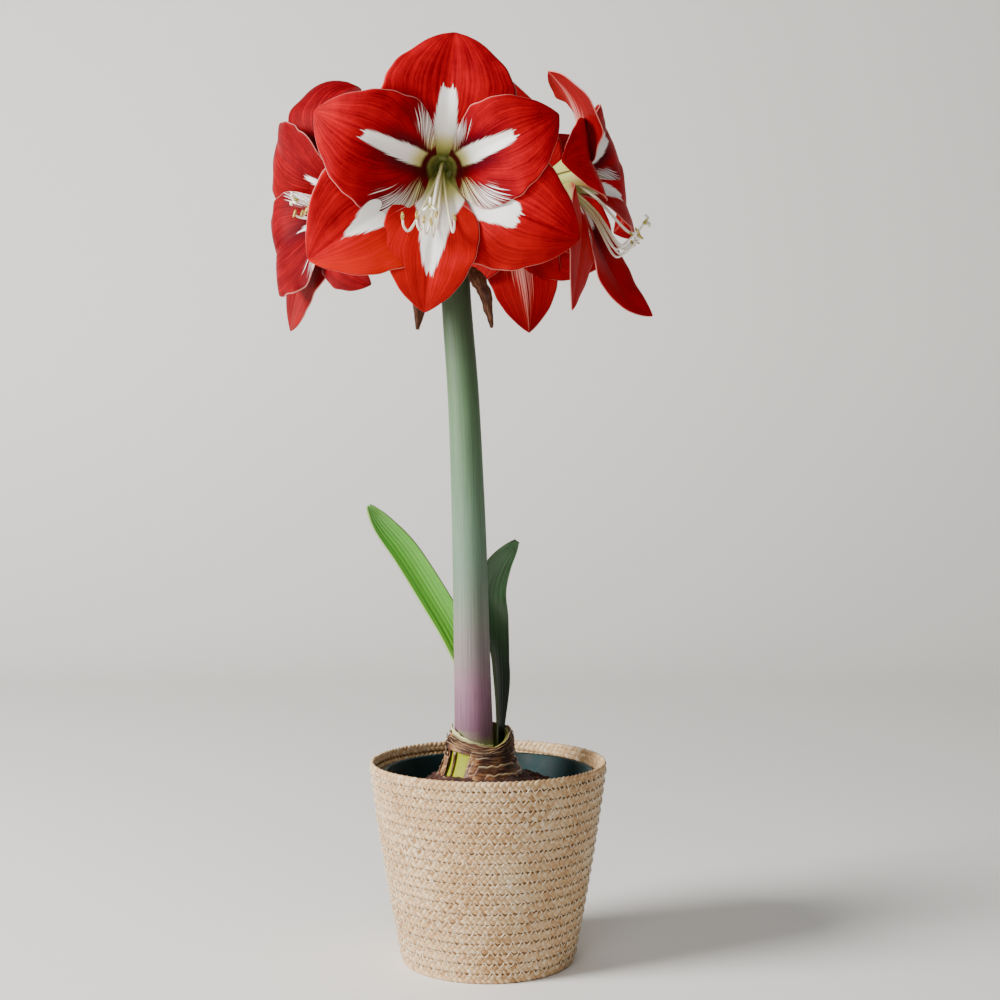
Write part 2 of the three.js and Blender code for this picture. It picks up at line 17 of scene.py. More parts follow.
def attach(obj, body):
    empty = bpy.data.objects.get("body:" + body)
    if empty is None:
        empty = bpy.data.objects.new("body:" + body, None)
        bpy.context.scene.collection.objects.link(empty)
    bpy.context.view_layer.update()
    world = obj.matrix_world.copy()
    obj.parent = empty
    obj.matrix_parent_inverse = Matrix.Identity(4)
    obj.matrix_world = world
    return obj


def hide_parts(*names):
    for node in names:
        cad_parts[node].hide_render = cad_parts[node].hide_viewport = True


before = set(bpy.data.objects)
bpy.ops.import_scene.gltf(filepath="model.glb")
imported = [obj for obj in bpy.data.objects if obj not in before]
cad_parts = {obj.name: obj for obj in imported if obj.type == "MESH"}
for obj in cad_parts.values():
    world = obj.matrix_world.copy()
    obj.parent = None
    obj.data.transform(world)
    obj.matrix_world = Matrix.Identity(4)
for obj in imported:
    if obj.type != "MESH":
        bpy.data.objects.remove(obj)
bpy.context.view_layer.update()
MM = 0.001
print("nodes in the frame:", len(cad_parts))

# %% [markdown]
# ## Tools of the lesson
#
# Colours are picked as the sRGB hex values of a colour chart, but a shader wants linear light, so
# one function converts them. Another adds a shader node with its settings and links: an input is
# named or numbered, and takes either a value or the output of another node.

# %% Colours and nodes
def linear(chart):
    parts = [int(chart[k : k + 2], 16) / 255 for k in (1, 3, 5)]
    return tuple(
        c / 12.92 if c <= 0.04045 else ((c + 0.055) / 1.055) ** 2.4 for c in parts
    ) + (1.0,)


def add_node(tree, kind, inputs=(), **settings):
    made = tree.nodes.new("ShaderNode" + kind)
    for name, value in settings.items():
        setattr(made, name, value)
    for name, value in dict(inputs).items():
        if isinstance(value, bpy.types.NodeSocket):
            tree.links.new(value, made.inputs[name])
        else:
            made.inputs[name].default_value = value
    return made


def new_material(name, **shader_inputs):
    material = bpy.data.materials.new(name)
    material.use_nodes = True
    shader = material.node_tree.nodes["Principled BSDF"]
    for socket, value in shader_inputs.items():
        shader.inputs[socket.replace("_", " ")].default_value = value
    print("finish:", name)
    return material, material.node_tree, shader


# %% [markdown]
# A colour ramp turns one number into a run of colours. Its stops are set one by one, so a short
# helper fills them from a list of places and colours.

# %% Colour ramps
def set_stops(ramp, stops):
    elements = ramp.color_ramp.elements
    while len(elements) < len(stops):
        elements.new(0.5)
    for element, (place, colour) in zip(elements, stops):
        element.position = place
        element.color = linear(colour)


def smooth(x, low, high):
    t = min(1, max(0, (x - low) / (high - low)))
    return t * t * (3 - 2 * t)


def mix(a, b, t):
    return a + (b - a) * t


# %% [markdown]
# ## Grids that take a shape
#
# A petal, a leaf, a straw or a stalk is a flat grid that has been bent. The grid operator makes its
# vertices and its UV map, and a formula then moves each vertex to its place. Where the two long
# sides meet, as round a stalk, or where a row shrinks to a point, the doubles are merged.

# %% Grid helper
WELD = 1e-5  # vertices closer than this, in millimetres, become one


def bent_grid(bm, along, across, place, closed=False):
    made = bmesh.ops.create_grid(
        bm, x_segments=along, y_segments=across, size=1, calc_uvs=True
    )["verts"]
    for vert in made:
        vert.co = place((vert.co.x + 1) / 2, (vert.co.y + 1) / 2)
    if closed:
        faces = list({face for vert in made for face in vert.link_faces})
        bmesh.ops.remove_doubles(bm, verts=made, dist=WELD)
        bmesh.ops.recalc_face_normals(bm, faces=[f for f in faces if f.is_valid])
        made = [vert for vert in made if vert.is_valid]
    return made


def new_bmesh(*marks):
    """An empty bmesh with a UV map, and with one number per vertex for each mark."""
    bm = bmesh.new()
    bm.loops.layers.uv.new("UVMap")
    for mark in marks:
        bm.verts.layers.float.new(mark)
    return bm


def pour(small, bm):
    """Adds a small bmesh to a large one, and frees it."""
    mesh = bpy.data.meshes.new("poured")
    small.to_mesh(mesh)
    small.free()
    bm.from_mesh(mesh)
    bpy.data.meshes.remove(mesh)


def finish_piece(bm, name, materials, replaced=(), wall=0, shells=1):
    """Turns a bmesh in millimetres into a piece that rides on the part."""
    bmesh.ops.transform(bm, matrix=Matrix.Scale(MM, 4), verts=bm.verts)
    for face in bm.faces:
        face.smooth = True
    mesh = bpy.data.meshes.new(name)
    bm.to_mesh(mesh)
    bm.free()
    for material in materials:
        mesh.materials.append(material)
    piece = bpy.data.objects.new(name, mesh)
    bpy.context.scene.collection.objects.link(piece)
    if wall:
        solidify = piece.modifiers.new("wall", "SOLIDIFY")
        solidify.thickness = wall * MM
        solidify.offset = 0
        solidify.material_offset = shells - 1
    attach(piece, "root")
    if replaced:
        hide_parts(*replaced)
    print(name, "has", len(mesh.polygons), "faces")
    return piece


# %% [markdown]
# A line through a few chosen points follows Catmull and Rom's rule: each stretch leaves its point
# in the direction of the two neighbours. A rod is then a grid rolled up round such a line. Its
# first and last rows shrink to a point, which closes its ends.

# %% Lines and rods
def line_through(points):
    points = [Vector(p) for p in points]
    points = [2 * points[0] - points[1], *points, 2 * points[-1] - points[-2]]
    stretches = len(points) - 3

    def at(t):
        k = min(int(t * stretches), stretches - 1)
        s = t * stretches - k
        a, b, c, d = points[k : k + 4]
        pull = (c - a) * s + (2 * a - 5 * b + 4 * c - d) * s**2
        return b + 0.5 * (pull + (3 * (b - c) + d - a) * s**3)

    return at


def direction(line, t):
    """The way a line runs at t, from a hundredth of its length before to one after."""
    return (line(min(1, t + 0.01)) - line(max(0, t - 0.01))).normalized()


def tapered(radius, loss):
    """Radius of a rod that has lost so much of it at its end."""
    return lambda t: radius - loss * t


ROW_END = 1e-4  # a row that is closer than this to an end of the grid is its first or last one


def add_rod(bm, line, radius, sides, steps, reference=(1, 0, 0)):
    reference = Vector(reference)

    def place(u, w):
        t = min(1, max(0, (u * (steps + 2) - 1) / steps))
        run = direction(line, t)
        first = (reference - run * reference.dot(run)).normalized()
        second = run.cross(first)
        spread = 0 if min(u, 1 - u) < ROW_END else radius(t)
        turn = 2 * pi * w
        return line(t) + spread * (cos(turn) * first + sin(turn) * second)

    bent_grid(bm, steps + 2, sides, place, closed=True)


# %% [markdown]
# ## The shape of a petal
#
# An amaryllis flower has six petals in two rings of three. Each one leaves a short tube, runs
# forward as part of a funnel, and then turns outwards. Its midrib is a Bezier curve in the plane
# through the flower's axis. Across the midrib the petal is first curled round the funnel, then
# nearly flat, with margins that turn back and wave. All of it is one formula with a set of values
# for each petal.

# %% Values of a petal
PETAL = {
    "clock": 0,  # degrees clockwise from the top of the flower's face
    "inner": False,
    "root": 7.4,  # distance from the flower's axis where it starts
    "reach": 90,  # distance of its tip from the axis
    "rise": 38,  # how far the funnel holds it forward
    "belly": 84,  # how far forward its shoulder is drawn
    "shoulder": 48,  # and how far out
    "tip": 56,  # how far forward its tip ends
    "left": 40,  # half widths on its two sides
    "right": 40,
    "widest_left": 0.55,
    "widest_right": 0.55,
    "point": 0.82,  # how pointed its tip is
    "bend": 0,  # how far its tip is drawn to the right
    "twist": 0,  # degrees that its tip is turned about the midrib
    "keel": 8,  # degrees that each half is folded up from the midrib
    # the white star: where its ray ends, its half widths past the throat and in it, and its taper
    "ray": 0.76,
    "ray_width": 7.5,
    "throat_width": 8,
    "neck": 0.42,  # where the ray takes its full shape
    "taper": 0.5,
    "ray_shift": 0,  # how far to the right of the middle it lies, as a share of the half width
    "maroon": 0,  # how dark the petal is beside the ray
    "fan": 0.25,  # how strong the fan of white veins is
    "glow": 0.15,  # how orange its hanging half is: painted glow of the light through it
}
INNER_PETAL = {
    "root": 5,
    "rise": 42,
    "belly": 92,
    "left": 34,
    "right": 34,
    "ray": 0.71,
    "ray_width": 6,
    "throat_width": 5,
    "taper": 0.4,
    "maroon": 1,
    "fan": 1,
    "glow": 0,
}
BASE_SHARE = 0.12  # width in the tube, as a share of the widest
CUP = 0.002  # curvature across, in 1/mm
# shares of the half width: how far the margins turn back, wave, and wave again more finely
ROLL, RUFFLE, FRILL = -0.1, 0.05, 0.018
RIB = 0.35  # height of the broad ribs, in millimetres
GROOVE_DEPTH, GROOVE_WIDTH = 0.7, 1.6  # the groove over the midrib


# %% Petal formula
def petal_share(u, widest, point):
    if u < widest:
        return BASE_SHARE + (1 - BASE_SHARE) * sin(pi / 2 * (u / widest) ** 2.2)
    return max(0.02, (1 - ((u - widest) / (1 - widest)) ** 2.2) ** point)


def petal_form(settings):
    p = {**PETAL, **(INNER_PETAL if settings.get("inner") else {}), **settings}
    clock = radians(p["clock"])
    radial = Vector((sin(clock), cos(clock), 0))
    side = Vector((cos(clock), -sin(clock), 0))
    axis = Vector((0, 0, 1))
    a, b = Vector((p["root"], 0)), Vector((p["root"] + 5, p["rise"]))
    c, d = Vector((p["shoulder"], p["belly"])), Vector((p["reach"], p["tip"]))
    phase = p["clock"] * 0.37

    def half_width(u, v):
        width, widest = ("left", "widest_left") if v < 0 else ("right", "widest_right")
        # the margin looks nibbled: two small waves that are not in step
        nibble = 0.012 * sin(31 * u + phase) + 0.01 * sin(57 * u + 2 * phase)
        share = petal_share(u, p[widest], p["point"])
        return p[width] * share * (1 + nibble * smooth(u, 0.4, 0.6))

    def place(u, w):
        v = 2 * w - 1
        t = 1 - u
        spot = a * t**3 + 3 * b * t * t * u + 3 * c * t * u * u + d * u**3
        run = ((b - a) * t * t + 2 * (c - b) * t * u + (d - c) * u * u).normalized()
        half = half_width(u, v)
        in_tube = 1 - smooth(u, 0.2, 0.6)
        curl = in_tube * run.y / spot.x + (1 - in_tube) * CUP + 1e-6
        fold = radians(p["keel"]) * smooth(u, 0.15, 0.5)
        s = abs(v) * half
        out, up = sin(curl * s) / curl, (1 - cos(curl * s)) / curl
        out, up = (
            out * cos(fold) - up * sin(fold),
            out * sin(fold) + up * cos(fold),
        )
        free = smooth(u, 0.25, 0.6)
        wave = sin(4 * pi * u + (0 if v < 0 else 1.7))
        up += free * half * (ROLL * abs(v) ** 3 + RUFFLE * v * v * wave)
        up += free * FRILL * half * v**4 * sin(34 * u + 3 * v + phase)
        up += free * RIB * sin(15 * v) * (1 - u) * (1 - v * v)
        up -= free * GROOVE_DEPTH * exp(-((s / GROOVE_WIDTH) ** 2)) * (1 - u * u)
        twist = radians(p["twist"]) * u * u
        across = out if v >= 0 else -out
        lateral = across * cos(twist) - up * sin(twist) + p["bend"] * u * u
        lift = across * sin(twist) + up * cos(twist)
        normal = -radial * run.y + axis * run.x
        return radial * spot.x + axis * spot.y + side * lateral + normal * lift

    return p, half_width, place


# %% [markdown]
# ## The four flowers
#
# The flowers of one umbel face four ways. Each has its own place and heading, and the petals differ
# a little in length, width and bend, as in nature. The tall numbers of the side flowers' petals
# come from how far they lean back, because those flowers are seen from the side.

# %% The flowers' values
FLOWERS = {
    "front": {
        "heading": 1,  # degrees: 0 faces -Y, 90 faces +X
        "droop": 13,  # degrees below the horizontal
        "drop": 29,  # how far the stamens hang below the flower's axis
        "forward": 84,  # and how far they reach out along it
        "sag": 8,
        "place": (-31, -48, 561),
        "depth": 0,  # painted light: how much paler its red is than the front flower's, below 0 deeper
        "petals": [
            {"clock": 6, "reach": 88, "left": 46, "right": 48, "tip": 34, "belly": 84,
             "point": 0.7, "ray": 0.69, "ray_width": 8, "taper": 0.4, "fan": 0.1},
            {"clock": 112, "reach": 101, "left": 40, "right": 46, "bend": 6, "ray": 0.7,
             "ray_width": 8.5, "throat_width": 26, "neck": 0.66, "taper": 0.45,
             "ray_shift": 0.14, "glow": 0.3},
            {"clock": 241, "reach": 104, "left": 40, "right": 46, "bend": -8, "tip": 62,
             "widest_right": 0.62, "ray": 0.82, "ray_width": 10, "throat_width": 24,
             "neck": 0.6, "taper": 1, "glow": 1},
            {"clock": 59, "reach": 84, "left": 29, "right": 39, "bend": 8, "inner": True,
             "belly": 90, "tip": 62, "widest_right": 0.42, "widest_left": 0.62},
            {"clock": 187, "reach": 93, "left": 31, "right": 34, "inner": True, "belly": 88,
             "ray": 0.79, "ray_width": 9.5, "throat_width": 26, "neck": 0.55, "taper": 0.75,
             "maroon": 0, "fan": 0.5, "glow": 0.45},
            {"clock": 299, "reach": 89, "left": 45, "right": 35, "bend": -6, "inner": True,
             "belly": 90, "tip": 62, "widest_left": 0.45},
        ],
    },
    "left": {
        "heading": -62,
        "droop": 6,
        "drop": 4,
        "forward": 56,
        "sag": 3,
        "place": (-74, -6, 543),
        # painted light: a deeper red, as this flower faces the strong light
        "depth": -0.15,
        "petals": [
            {"clock": 314, "reach": 82, "left": 34, "right": 34, "belly": 70, "tip": 52,
             "point": 0.6, "ray": 0.5, "ray_width": 2.5},
            {"clock": 228, "reach": 121, "left": 30, "right": 26, "belly": 58, "tip": 46,
             "ray": 0.5},
            {"clock": 80, "reach": 66, "left": 36, "right": 36, "belly": 60, "tip": 14},
            {"clock": 352, "reach": 84, "left": 40, "right": 34, "inner": True, "belly": 54,
             "shoulder": 80, "tip": 8, "widest_left": 0.7, "twist": -35, "bend": 4,
             "point": 0.5, "ray": 0.45, "ray_width": 2.5},
            {"clock": 146, "reach": 72, "left": 30, "right": 30, "inner": True, "belly": 66,
             "tip": 34, "ray": 0.45},
            {"clock": 243, "reach": 70, "left": 50, "right": 34, "inner": True, "belly": 86,
             "tip": 56, "twist": -12, "ray": 0.5, "ray_width": 2, "taper": 1},
        ],
    },
    "right": {
        "heading": 78,
        "droop": -16,
        "drop": 58,
        "forward": 56,
        "sag": 3,
        "place": (38, -2, 556),
        # painted light: a paler red, as this flower stands in shade
        "depth": 0.1,
        "petals": [
            {"clock": 328, "reach": 77, "left": 44, "right": 40, "belly": 50, "shoulder": 38,
             "tip": 32, "twist": -40, "ray": 0.5},
            {"clock": 116, "reach": 80, "left": 36, "right": 32, "belly": 72, "tip": 34,
             "ray": 0.6, "ray_width": 6},
            {"clock": 208, "reach": 112, "left": 26, "right": 34, "belly": 24, "shoulder": 46,
             "tip": 4, "ray": 0.45},
            {"clock": 50, "reach": 76, "left": 24, "right": 32, "inner": True, "belly": 68,
             "tip": 42, "ray": 0.62, "ray_width": 7},
            {"clock": 162, "reach": 114, "left": 27, "right": 27, "inner": True, "belly": 10,
             "shoulder": 70, "tip": 48, "twist": -35, "ray": 0.46, "ray_width": 8},
            {"clock": 268, "reach": 62, "left": 30, "right": 30, "inner": True, "belly": 58,
             "tip": 26, "ray": 0.5, "ray_width": 3},
        ],
    },
    "back": {
        "heading": 168,
        "droop": 0,
        "drop": 30,
        "forward": 84,
        "sag": 6,
        "place": (6, 46, 560),
        "depth": -0.08,
        "petals": [
            {"clock": 0, "reach": 92, "left": 42, "right": 42, "belly": 72, "shoulder": 30,
             "tip": 20},
            {"clock": 120},
            {"clock": 240},
            {"clock": 60, "reach": 86, "left": 36, "right": 36, "inner": True, "belly": 88},
            {"clock": 188, "reach": 101, "left": 31, "right": 31, "inner": True, "belly": 88},
            {"clock": 300, "reach": 86, "left": 36, "right": 36, "inner": True, "belly": 88},
        ],
    },
}


def facing(flower):
    """Turns a flower that faces +Z, with its top at +Y, to its place on the plant."""
    turn = Matrix.Rotation(radians(flower["heading"]), 4, "Z")
    tip = Matrix.Rotation(pi / 2 + radians(flower["droop"]), 4, "X")
    return Matrix.Translation(flower["place"]) @ turn @ tip


print("petals in all:", sum(len(f["petals"]) for f in FLOWERS.values()))

# %% [markdown]
# ## The finish of a petal
#
# A petal is a thin wet film of cells, so it is satin rather than glossy, it lets light through, and
# its cells give it a velvet sheen of its own red. That red is deepest beside the veins, which run
# from the tube to the margin. In the halves that hang it is painted warmer, an orange glow that
# stands for the light coming through them. A white ray lies along its middle. The inner petals
# have maroon beside the ray, and fans of fine white veins between it and the margins.
#
# These marks belong to the petal's form, so each vertex carries them as numbers: how far inside the
# ray's side it is and how far before the ray's end, in millimetres, and how strong the fan, the
# maroon and the painted glow are. One more number is painted light for a whole flower: it makes
# the red paler on a flower in shade and deeper on one that faces the strong light. The shader adds
# streaks that run along the veins before it cuts the numbers at zero, which gives a sharp edge with
# teeth that no vertex could carry.

# %% What each petal vertex carries
# depth is painted light: one shift of the red for each whole flower
MARKS = ("vein", "ray_side", "ray_end", "fan", "maroon", "painted_glow", "depth")
FORWARD_LENGTH = 30  # how much longer a petal is than its reach, because it also runs forward


def ray_width(p, u):
    if u < p["neck"]:
        return mix(p["throat_width"], p["ray_width"], smooth(u, 0.2, p["neck"]))
    t = (u - p["neck"]) / max(0.05, p["ray"] - p["neck"])
    return p["ray_width"] * (1 - p["taper"] * min(1, t) ** 1.5)


def mark_petal(bm, verts, p, half_width, spots, flower_light_shift):
    layers = [bm.verts.layers.float[mark] for mark in MARKS]
    clock = radians(p["clock"])
    for vert, (u, w) in zip(verts, spots):
        v = 2 * w - 1
        side = ray_width(p, u) - abs(v - p["ray_shift"]) * half_width(u, v)
        end = (p["ray"] - u) * (p["reach"] + FORWARD_LENGTH)
        # veins leave the tube close together and part until three quarters of the length
        vein = v / (0.25 + 0.75 * smooth(u, 0.2, 0.75))
        # the fans lie along both margins of the lower half
        zone = smooth(u, 0.2, 0.28) * (1 - smooth(u, 0.42, 0.66)) * smooth(abs(v), 0.3, 0.75)
        beside = smooth(side, -15, -1) * (1 - smooth(u, 0.45, 0.8))
        dark = max(beside, 0.85 * zone) * p["maroon"]
        # painted glow: orange where light comes through the lower halves and the hanging petals
        glow = 0.6 * p["glow"] * min(1, max(0, v * sin(clock)) * 1.6 + max(0, -cos(clock)) ** 4)
        values = (vein, side, end, zone * p["fan"], dark, glow, flower_light_shift)
        for layer, value in zip(layers, values):
            vert[layer] = value


# %% Distance from the midrib
def from_midrib(tree, across):
    """0 at the midrib and 0.5 at either margin, from the UV map's place across."""
    signed = add_node(tree, "Math", {0: across, 1: 0.5}, operation="SUBTRACT").outputs[0]
    return add_node(tree, "Math", {0: signed}, operation="ABSOLUTE").outputs[0]


# %% Petal face
# both sides of a petal let red light through, and even their shine is reddish
PETAL_FILM = {
    "Roughness": 0.55,
    "Subsurface_Weight": 0.1,
    "Subsurface_Radius": (1, 0.06, 0.04),
    "Subsurface_Scale": 2.5 * MM,
    "Specular_Tint": linear("#ff8878"),
    "Sheen_Tint": linear("#e01008"),
}
petal_face, tree, shader = new_material(
    "petal_velvet", Specular_IOR_Level=0.12, Sheen_Weight=0.06, **PETAL_FILM
)
uv = add_node(tree, "UVMap", uv_map="UVMap").outputs["UV"]
split = add_node(tree, "SeparateXYZ", {"Vector": uv}).outputs
marks = {m: add_node(tree, "Attribute", attribute_name=m).outputs["Fac"] for m in MARKS}
vein_place = add_node(
    tree, "CombineXYZ", {"X": split["X"], "Y": marks["vein"]}
).outputs[0]
# veins: about 40 across a petal of 80 mm, so 2 mm apart, each running its whole length
along_veins = add_node(tree, "Mapping", {"Vector": vein_place, "Scale": (1.6, 20, 1)}).outputs[0]
vein_noise = add_node(
    tree, "TexNoise", {"Vector": along_veins, "Scale": 1, "Detail": 3, "Roughness": 0.6}
).outputs["Fac"]
# teeth of the white ray: 1.5 mm apart where the ray is widest
streak_map = add_node(tree, "Mapping", {"Vector": vein_place, "Scale": (3, 28, 1)}).outputs[0]
streak_noise = add_node(
    tree, "TexNoise", {"Vector": streak_map, "Scale": 1, "Detail": 1, "Roughness": 0.5}
).outputs["Fac"]
# lines of the fan: 2 mm apart at the margin, and closer in the tube
fan_map = add_node(tree, "Mapping", {"Vector": vein_place, "Scale": (2.5, 17, 1)}).outputs[0]
fan_noise = add_node(
    tree, "TexNoise", {"Vector": fan_map, "Scale": 1, "Detail": 1.5, "Roughness": 0.6}
).outputs["Fac"]
# blotches of deeper pigment 20 mm across
place_on_body = add_node(tree, "TexCoord").outputs["Object"]
mottle = add_node(
    tree, "TexNoise", {"Vector": place_on_body, "Scale": 50, "Detail": 5, "Roughness": 0.65}
).outputs["Fac"]

# red: veins, blotches and the flower's painted light shift choose how deep it is
pigment = add_node(
    tree, "Math", {0: vein_noise, 1: 0.6, 2: marks["depth"]}, operation="MULTIPLY_ADD"
).outputs[0]
pigment = add_node(
    tree, "Math", {0: mottle, 1: 0.4, 2: pigment}, operation="MULTIPLY_ADD"
).outputs[0]
reds = add_node(tree, "ValToRGB", {"Fac": pigment})
set_stops(reds, [(0.2, "#4a0006"), (0.36, "#6e000b"), (0.5, "#9c0011"), (0.62, "#b80014")])
# painted glow: orange mixed in where light comes through the petal
glowed = add_node(
    tree, "Mix", {"Factor": marks["painted_glow"], 6: reds.outputs[0], 7: linear("#c81c08")},
    data_type="RGBA",
).outputs[2]
flanked = add_node(
    tree, "Mix", {"Factor": marks["maroon"], 6: glowed, 7: linear("#4c0512")}, data_type="RGBA"
).outputs[2]

# the fan: streaks whiten where the fan is strong
fan_line = add_node(
    tree, "Math", {0: marks["fan"], 1: 0.3, 2: fan_noise}, operation="MULTIPLY_ADD"
).outputs[0]
fan_line = add_node(
    tree, "MapRange", {"Value": fan_line, "From Min": 0.75, "From Max": 0.86},
    interpolation_type="SMOOTHSTEP",
).outputs[0]
# the ray: the streaks push both distances, about 1 mm at its sides and 3 mm at its end
push = add_node(tree, "Math", {0: streak_noise, 1: 0.5}, operation="SUBTRACT").outputs[0]
side_depth = add_node(
    tree, "Math", {0: push, 1: 4, 2: marks["ray_side"]}, operation="MULTIPLY_ADD"
).outputs[0]
end_depth = add_node(
    tree, "Math", {0: push, 1: 13, 2: marks["ray_end"]}, operation="MULTIPLY_ADD"
).outputs[0]
depth = add_node(tree, "Math", {0: side_depth, 1: end_depth}, operation="MINIMUM").outputs[0]
within = add_node(
    tree, "MapRange", {"Value": depth, "From Min": -1.1, "From Max": 0.9},
    interpolation_type="SMOOTHSTEP",
).outputs[0]
# the foot of the petal is pale green all over
foot = add_node(
    tree, "MapRange",
    {"Value": split["X"], "From Min": 0.12, "From Max": 0.2, "To Min": 1, "To Max": 0},
    interpolation_type="SMOOTHSTEP",
).outputs[0]
pale = add_node(tree, "Math", {0: within, 1: fan_line}, operation="MAXIMUM").outputs[0]
pale = add_node(tree, "Math", {0: pale, 1: foot}, operation="MAXIMUM").outputs[0]
ray = add_node(tree, "ValToRGB", {"Fac": split["X"]})
set_stops(ray, [(0.1, "#a3ad5e"), (0.22, "#cfd47c"), (0.3, "#e2df9a"), (0.39, "#fdfaf4")])
marked = add_node(
    tree, "Mix", {"Factor": pale, 6: flanked, 7: ray.outputs[0]}, data_type="RGBA"
).outputs[2]
# a maroon ring crosses the foot of the inner petals
ring = add_node(tree, "ValToRGB", {"Fac": split["X"]})
set_stops(ring, [(0.15, "#000000"), (0.185, "#ffffff"), (0.23, "#ffffff"), (0.265, "#000000")])
ring = add_node(
    tree, "Math", {0: ring.outputs[0], 1: marks["maroon"]}, operation="MULTIPLY"
).outputs[0]
ringed = add_node(
    tree, "Mix", {"Factor": ring, 6: marked, 7: linear("#5c0d18")}, data_type="RGBA"
).outputs[2]
# a hair-thin pale margin
edge = add_node(
    tree, "MapRange",
    {
        "Value": from_midrib(tree, split["Y"]),
        "From Min": 0.49, "From Max": 0.5, "To Min": 0, "To Max": 0.6,
    },
).outputs[0]
edged = add_node(
    tree, "Mix", {"Factor": edge, 6: ringed, 7: linear("#f0a79b")}, data_type="RGBA"
).outputs[2]
tree.links.new(edged, shader.inputs["Base Color"])
# ribs over the veins, and cells so fine that they only break up the shine
ribs = add_node(tree, "Bump", {"Height": vein_noise, "Strength": 0.35, "Distance": 0.7 * MM})
cells = add_node(
    tree, "TexNoise", {"Vector": place_on_body, "Scale": 900, "Detail": 2}
).outputs["Fac"]
skin = add_node(
    tree, "Bump",
    {"Height": cells, "Strength": 0.25, "Distance": 0.3 * MM, "Normal": ribs.outputs[0]},
)
tree.links.new(skin.outputs[0], shader.inputs["Normal"])
print("petal face:", len(tree.nodes), "nodes")

# %% [markdown]
# The back of a petal is duller than its face. A green band runs up its midrib from the tube, and
# pale veins fan out on both sides of it and fade towards its tip.

# %% Petal back
petal_back, tree, shader = new_material(
    "petal_back_satin", Specular_IOR_Level=0.14, Sheen_Weight=0.05, **PETAL_FILM
)
uv = add_node(tree, "UVMap", uv_map="UVMap").outputs["UV"]
split = add_node(tree, "SeparateXYZ", {"Vector": uv}).outputs
vein = add_node(tree, "Attribute", attribute_name="vein").outputs["Fac"]
vein_place = add_node(tree, "CombineXYZ", {"X": split["X"], "Y": vein}).outputs[0]
along_veins = add_node(tree, "Mapping", {"Vector": vein_place, "Scale": (1.4, 24, 1)}).outputs[0]
vein_noise = add_node(
    tree, "TexNoise", {"Vector": along_veins, "Scale": 1, "Detail": 3, "Roughness": 0.6}
).outputs["Fac"]
reds = add_node(tree, "ValToRGB", {"Fac": vein_noise})
set_stops(reds, [(0.3, "#5a0006"), (0.5, "#86040c"), (0.7, "#9c0a12")])
middle = from_midrib(tree, split["Y"])
# pale veins: out to three quarters of the width at the foot, none past 92% of the length
spread = add_node(
    tree, "MapRange",
    {"Value": split["X"], "From Min": 0.3, "From Max": 0.92, "To Min": 0.36, "To Max": 0},
).outputs[0]
spread = add_node(tree, "Math", {0: spread, 1: middle}, operation="SUBTRACT").outputs[0]
veined = add_node(
    tree, "Math", {0: spread, 1: 1.2, 2: vein_noise}, operation="MULTIPLY_ADD"
).outputs[0]
veined = add_node(
    tree, "MapRange",
    {"Value": veined, "From Min": 0.48, "From Max": 0.72, "To Min": 0, "To Max": 0.8},
    interpolation_type="SMOOTHSTEP",
).outputs[0]
paled = add_node(
    tree, "Mix", {"Factor": veined, 6: reds.outputs[0], 7: linear("#cf8c80")}, data_type="RGBA"
).outputs[2]
# the green band: a tenth of the width on both sides of the midrib, gone by 60% of the length
band = add_node(
    tree, "MapRange",
    {"Value": middle, "From Min": 0.02, "From Max": 0.1, "To Min": 0.8, "To Max": 0},
    interpolation_type="SMOOTHSTEP",
).outputs[0]
fade = add_node(
    tree, "MapRange",
    {"Value": split["X"], "From Min": 0.3, "From Max": 0.6, "To Min": 1, "To Max": 0},
    interpolation_type="SMOOTHSTEP",
).outputs[0]
foot = add_node(
    tree, "MapRange",
    {"Value": split["X"], "From Min": 0.12, "From Max": 0.42, "To Min": 1, "To Max": 0},
    interpolation_type="SMOOTHSTEP",
).outputs[0]
green_share = add_node(
    tree, "Math", {0: band, 1: fade, 2: foot}, operation="MULTIPLY_ADD", use_clamp=True
).outputs[0]
backed = add_node(
    tree, "Mix", {"Factor": green_share, 6: paled, 7: linear("#a9b465")}, data_type="RGBA"
).outputs[2]
tree.links.new(backed, shader.inputs["Base Color"])
ribs = add_node(tree, "Bump", {"Height": vein_noise, "Strength": 0.35, "Distance": 0.8 * MM})
tree.links.new(ribs.outputs[0], shader.inputs["Normal"])
print("petal back:", len(tree.nodes), "nodes")

# %% Tube flesh
# thick, wet and pale green, because no light reaches it
tube_flesh, tree, shader = new_material(
    "tube_flesh", Base_Color=linear("#a8b25c"), Roughness=0.4, Subsurface_Weight=0.2,
    Subsurface_Radius=(0.6, 1, 0.3), Subsurface_Scale=3 * MM,
)

# %% [markdown]
# ## Building the petals
#
# A grid of 60 by 36 faces is fine enough for the smallest wave of a margin. The six petals of a
# flower grew as one with their tube, so the six are one piece, and the tube is a second piece.
# Solidify gives the film its thickness, and its material offset puts the second finish on the back.

# %% Petals and tube
PETAL_GRID = (60, 36)  # faces along and across
PETAL_WALL = 0.8
TUBE = [(0.01, -3), (7, -3), (8.6, 1), (9.6, 5), (9.0, 5.6), (4.6, 5.4), (3.9, 0.4), (0.01, 0)]


def add_tube(bm):
    outline = line_through([(r, 0, z) for r, z in TUBE])

    def place(u, w):
        spot = outline(u)
        return Vector((spot.x * cos(2 * pi * w), spot.x * sin(2 * pi * w), spot.z))

    bent_grid(bm, 28, 36, place, closed=True)


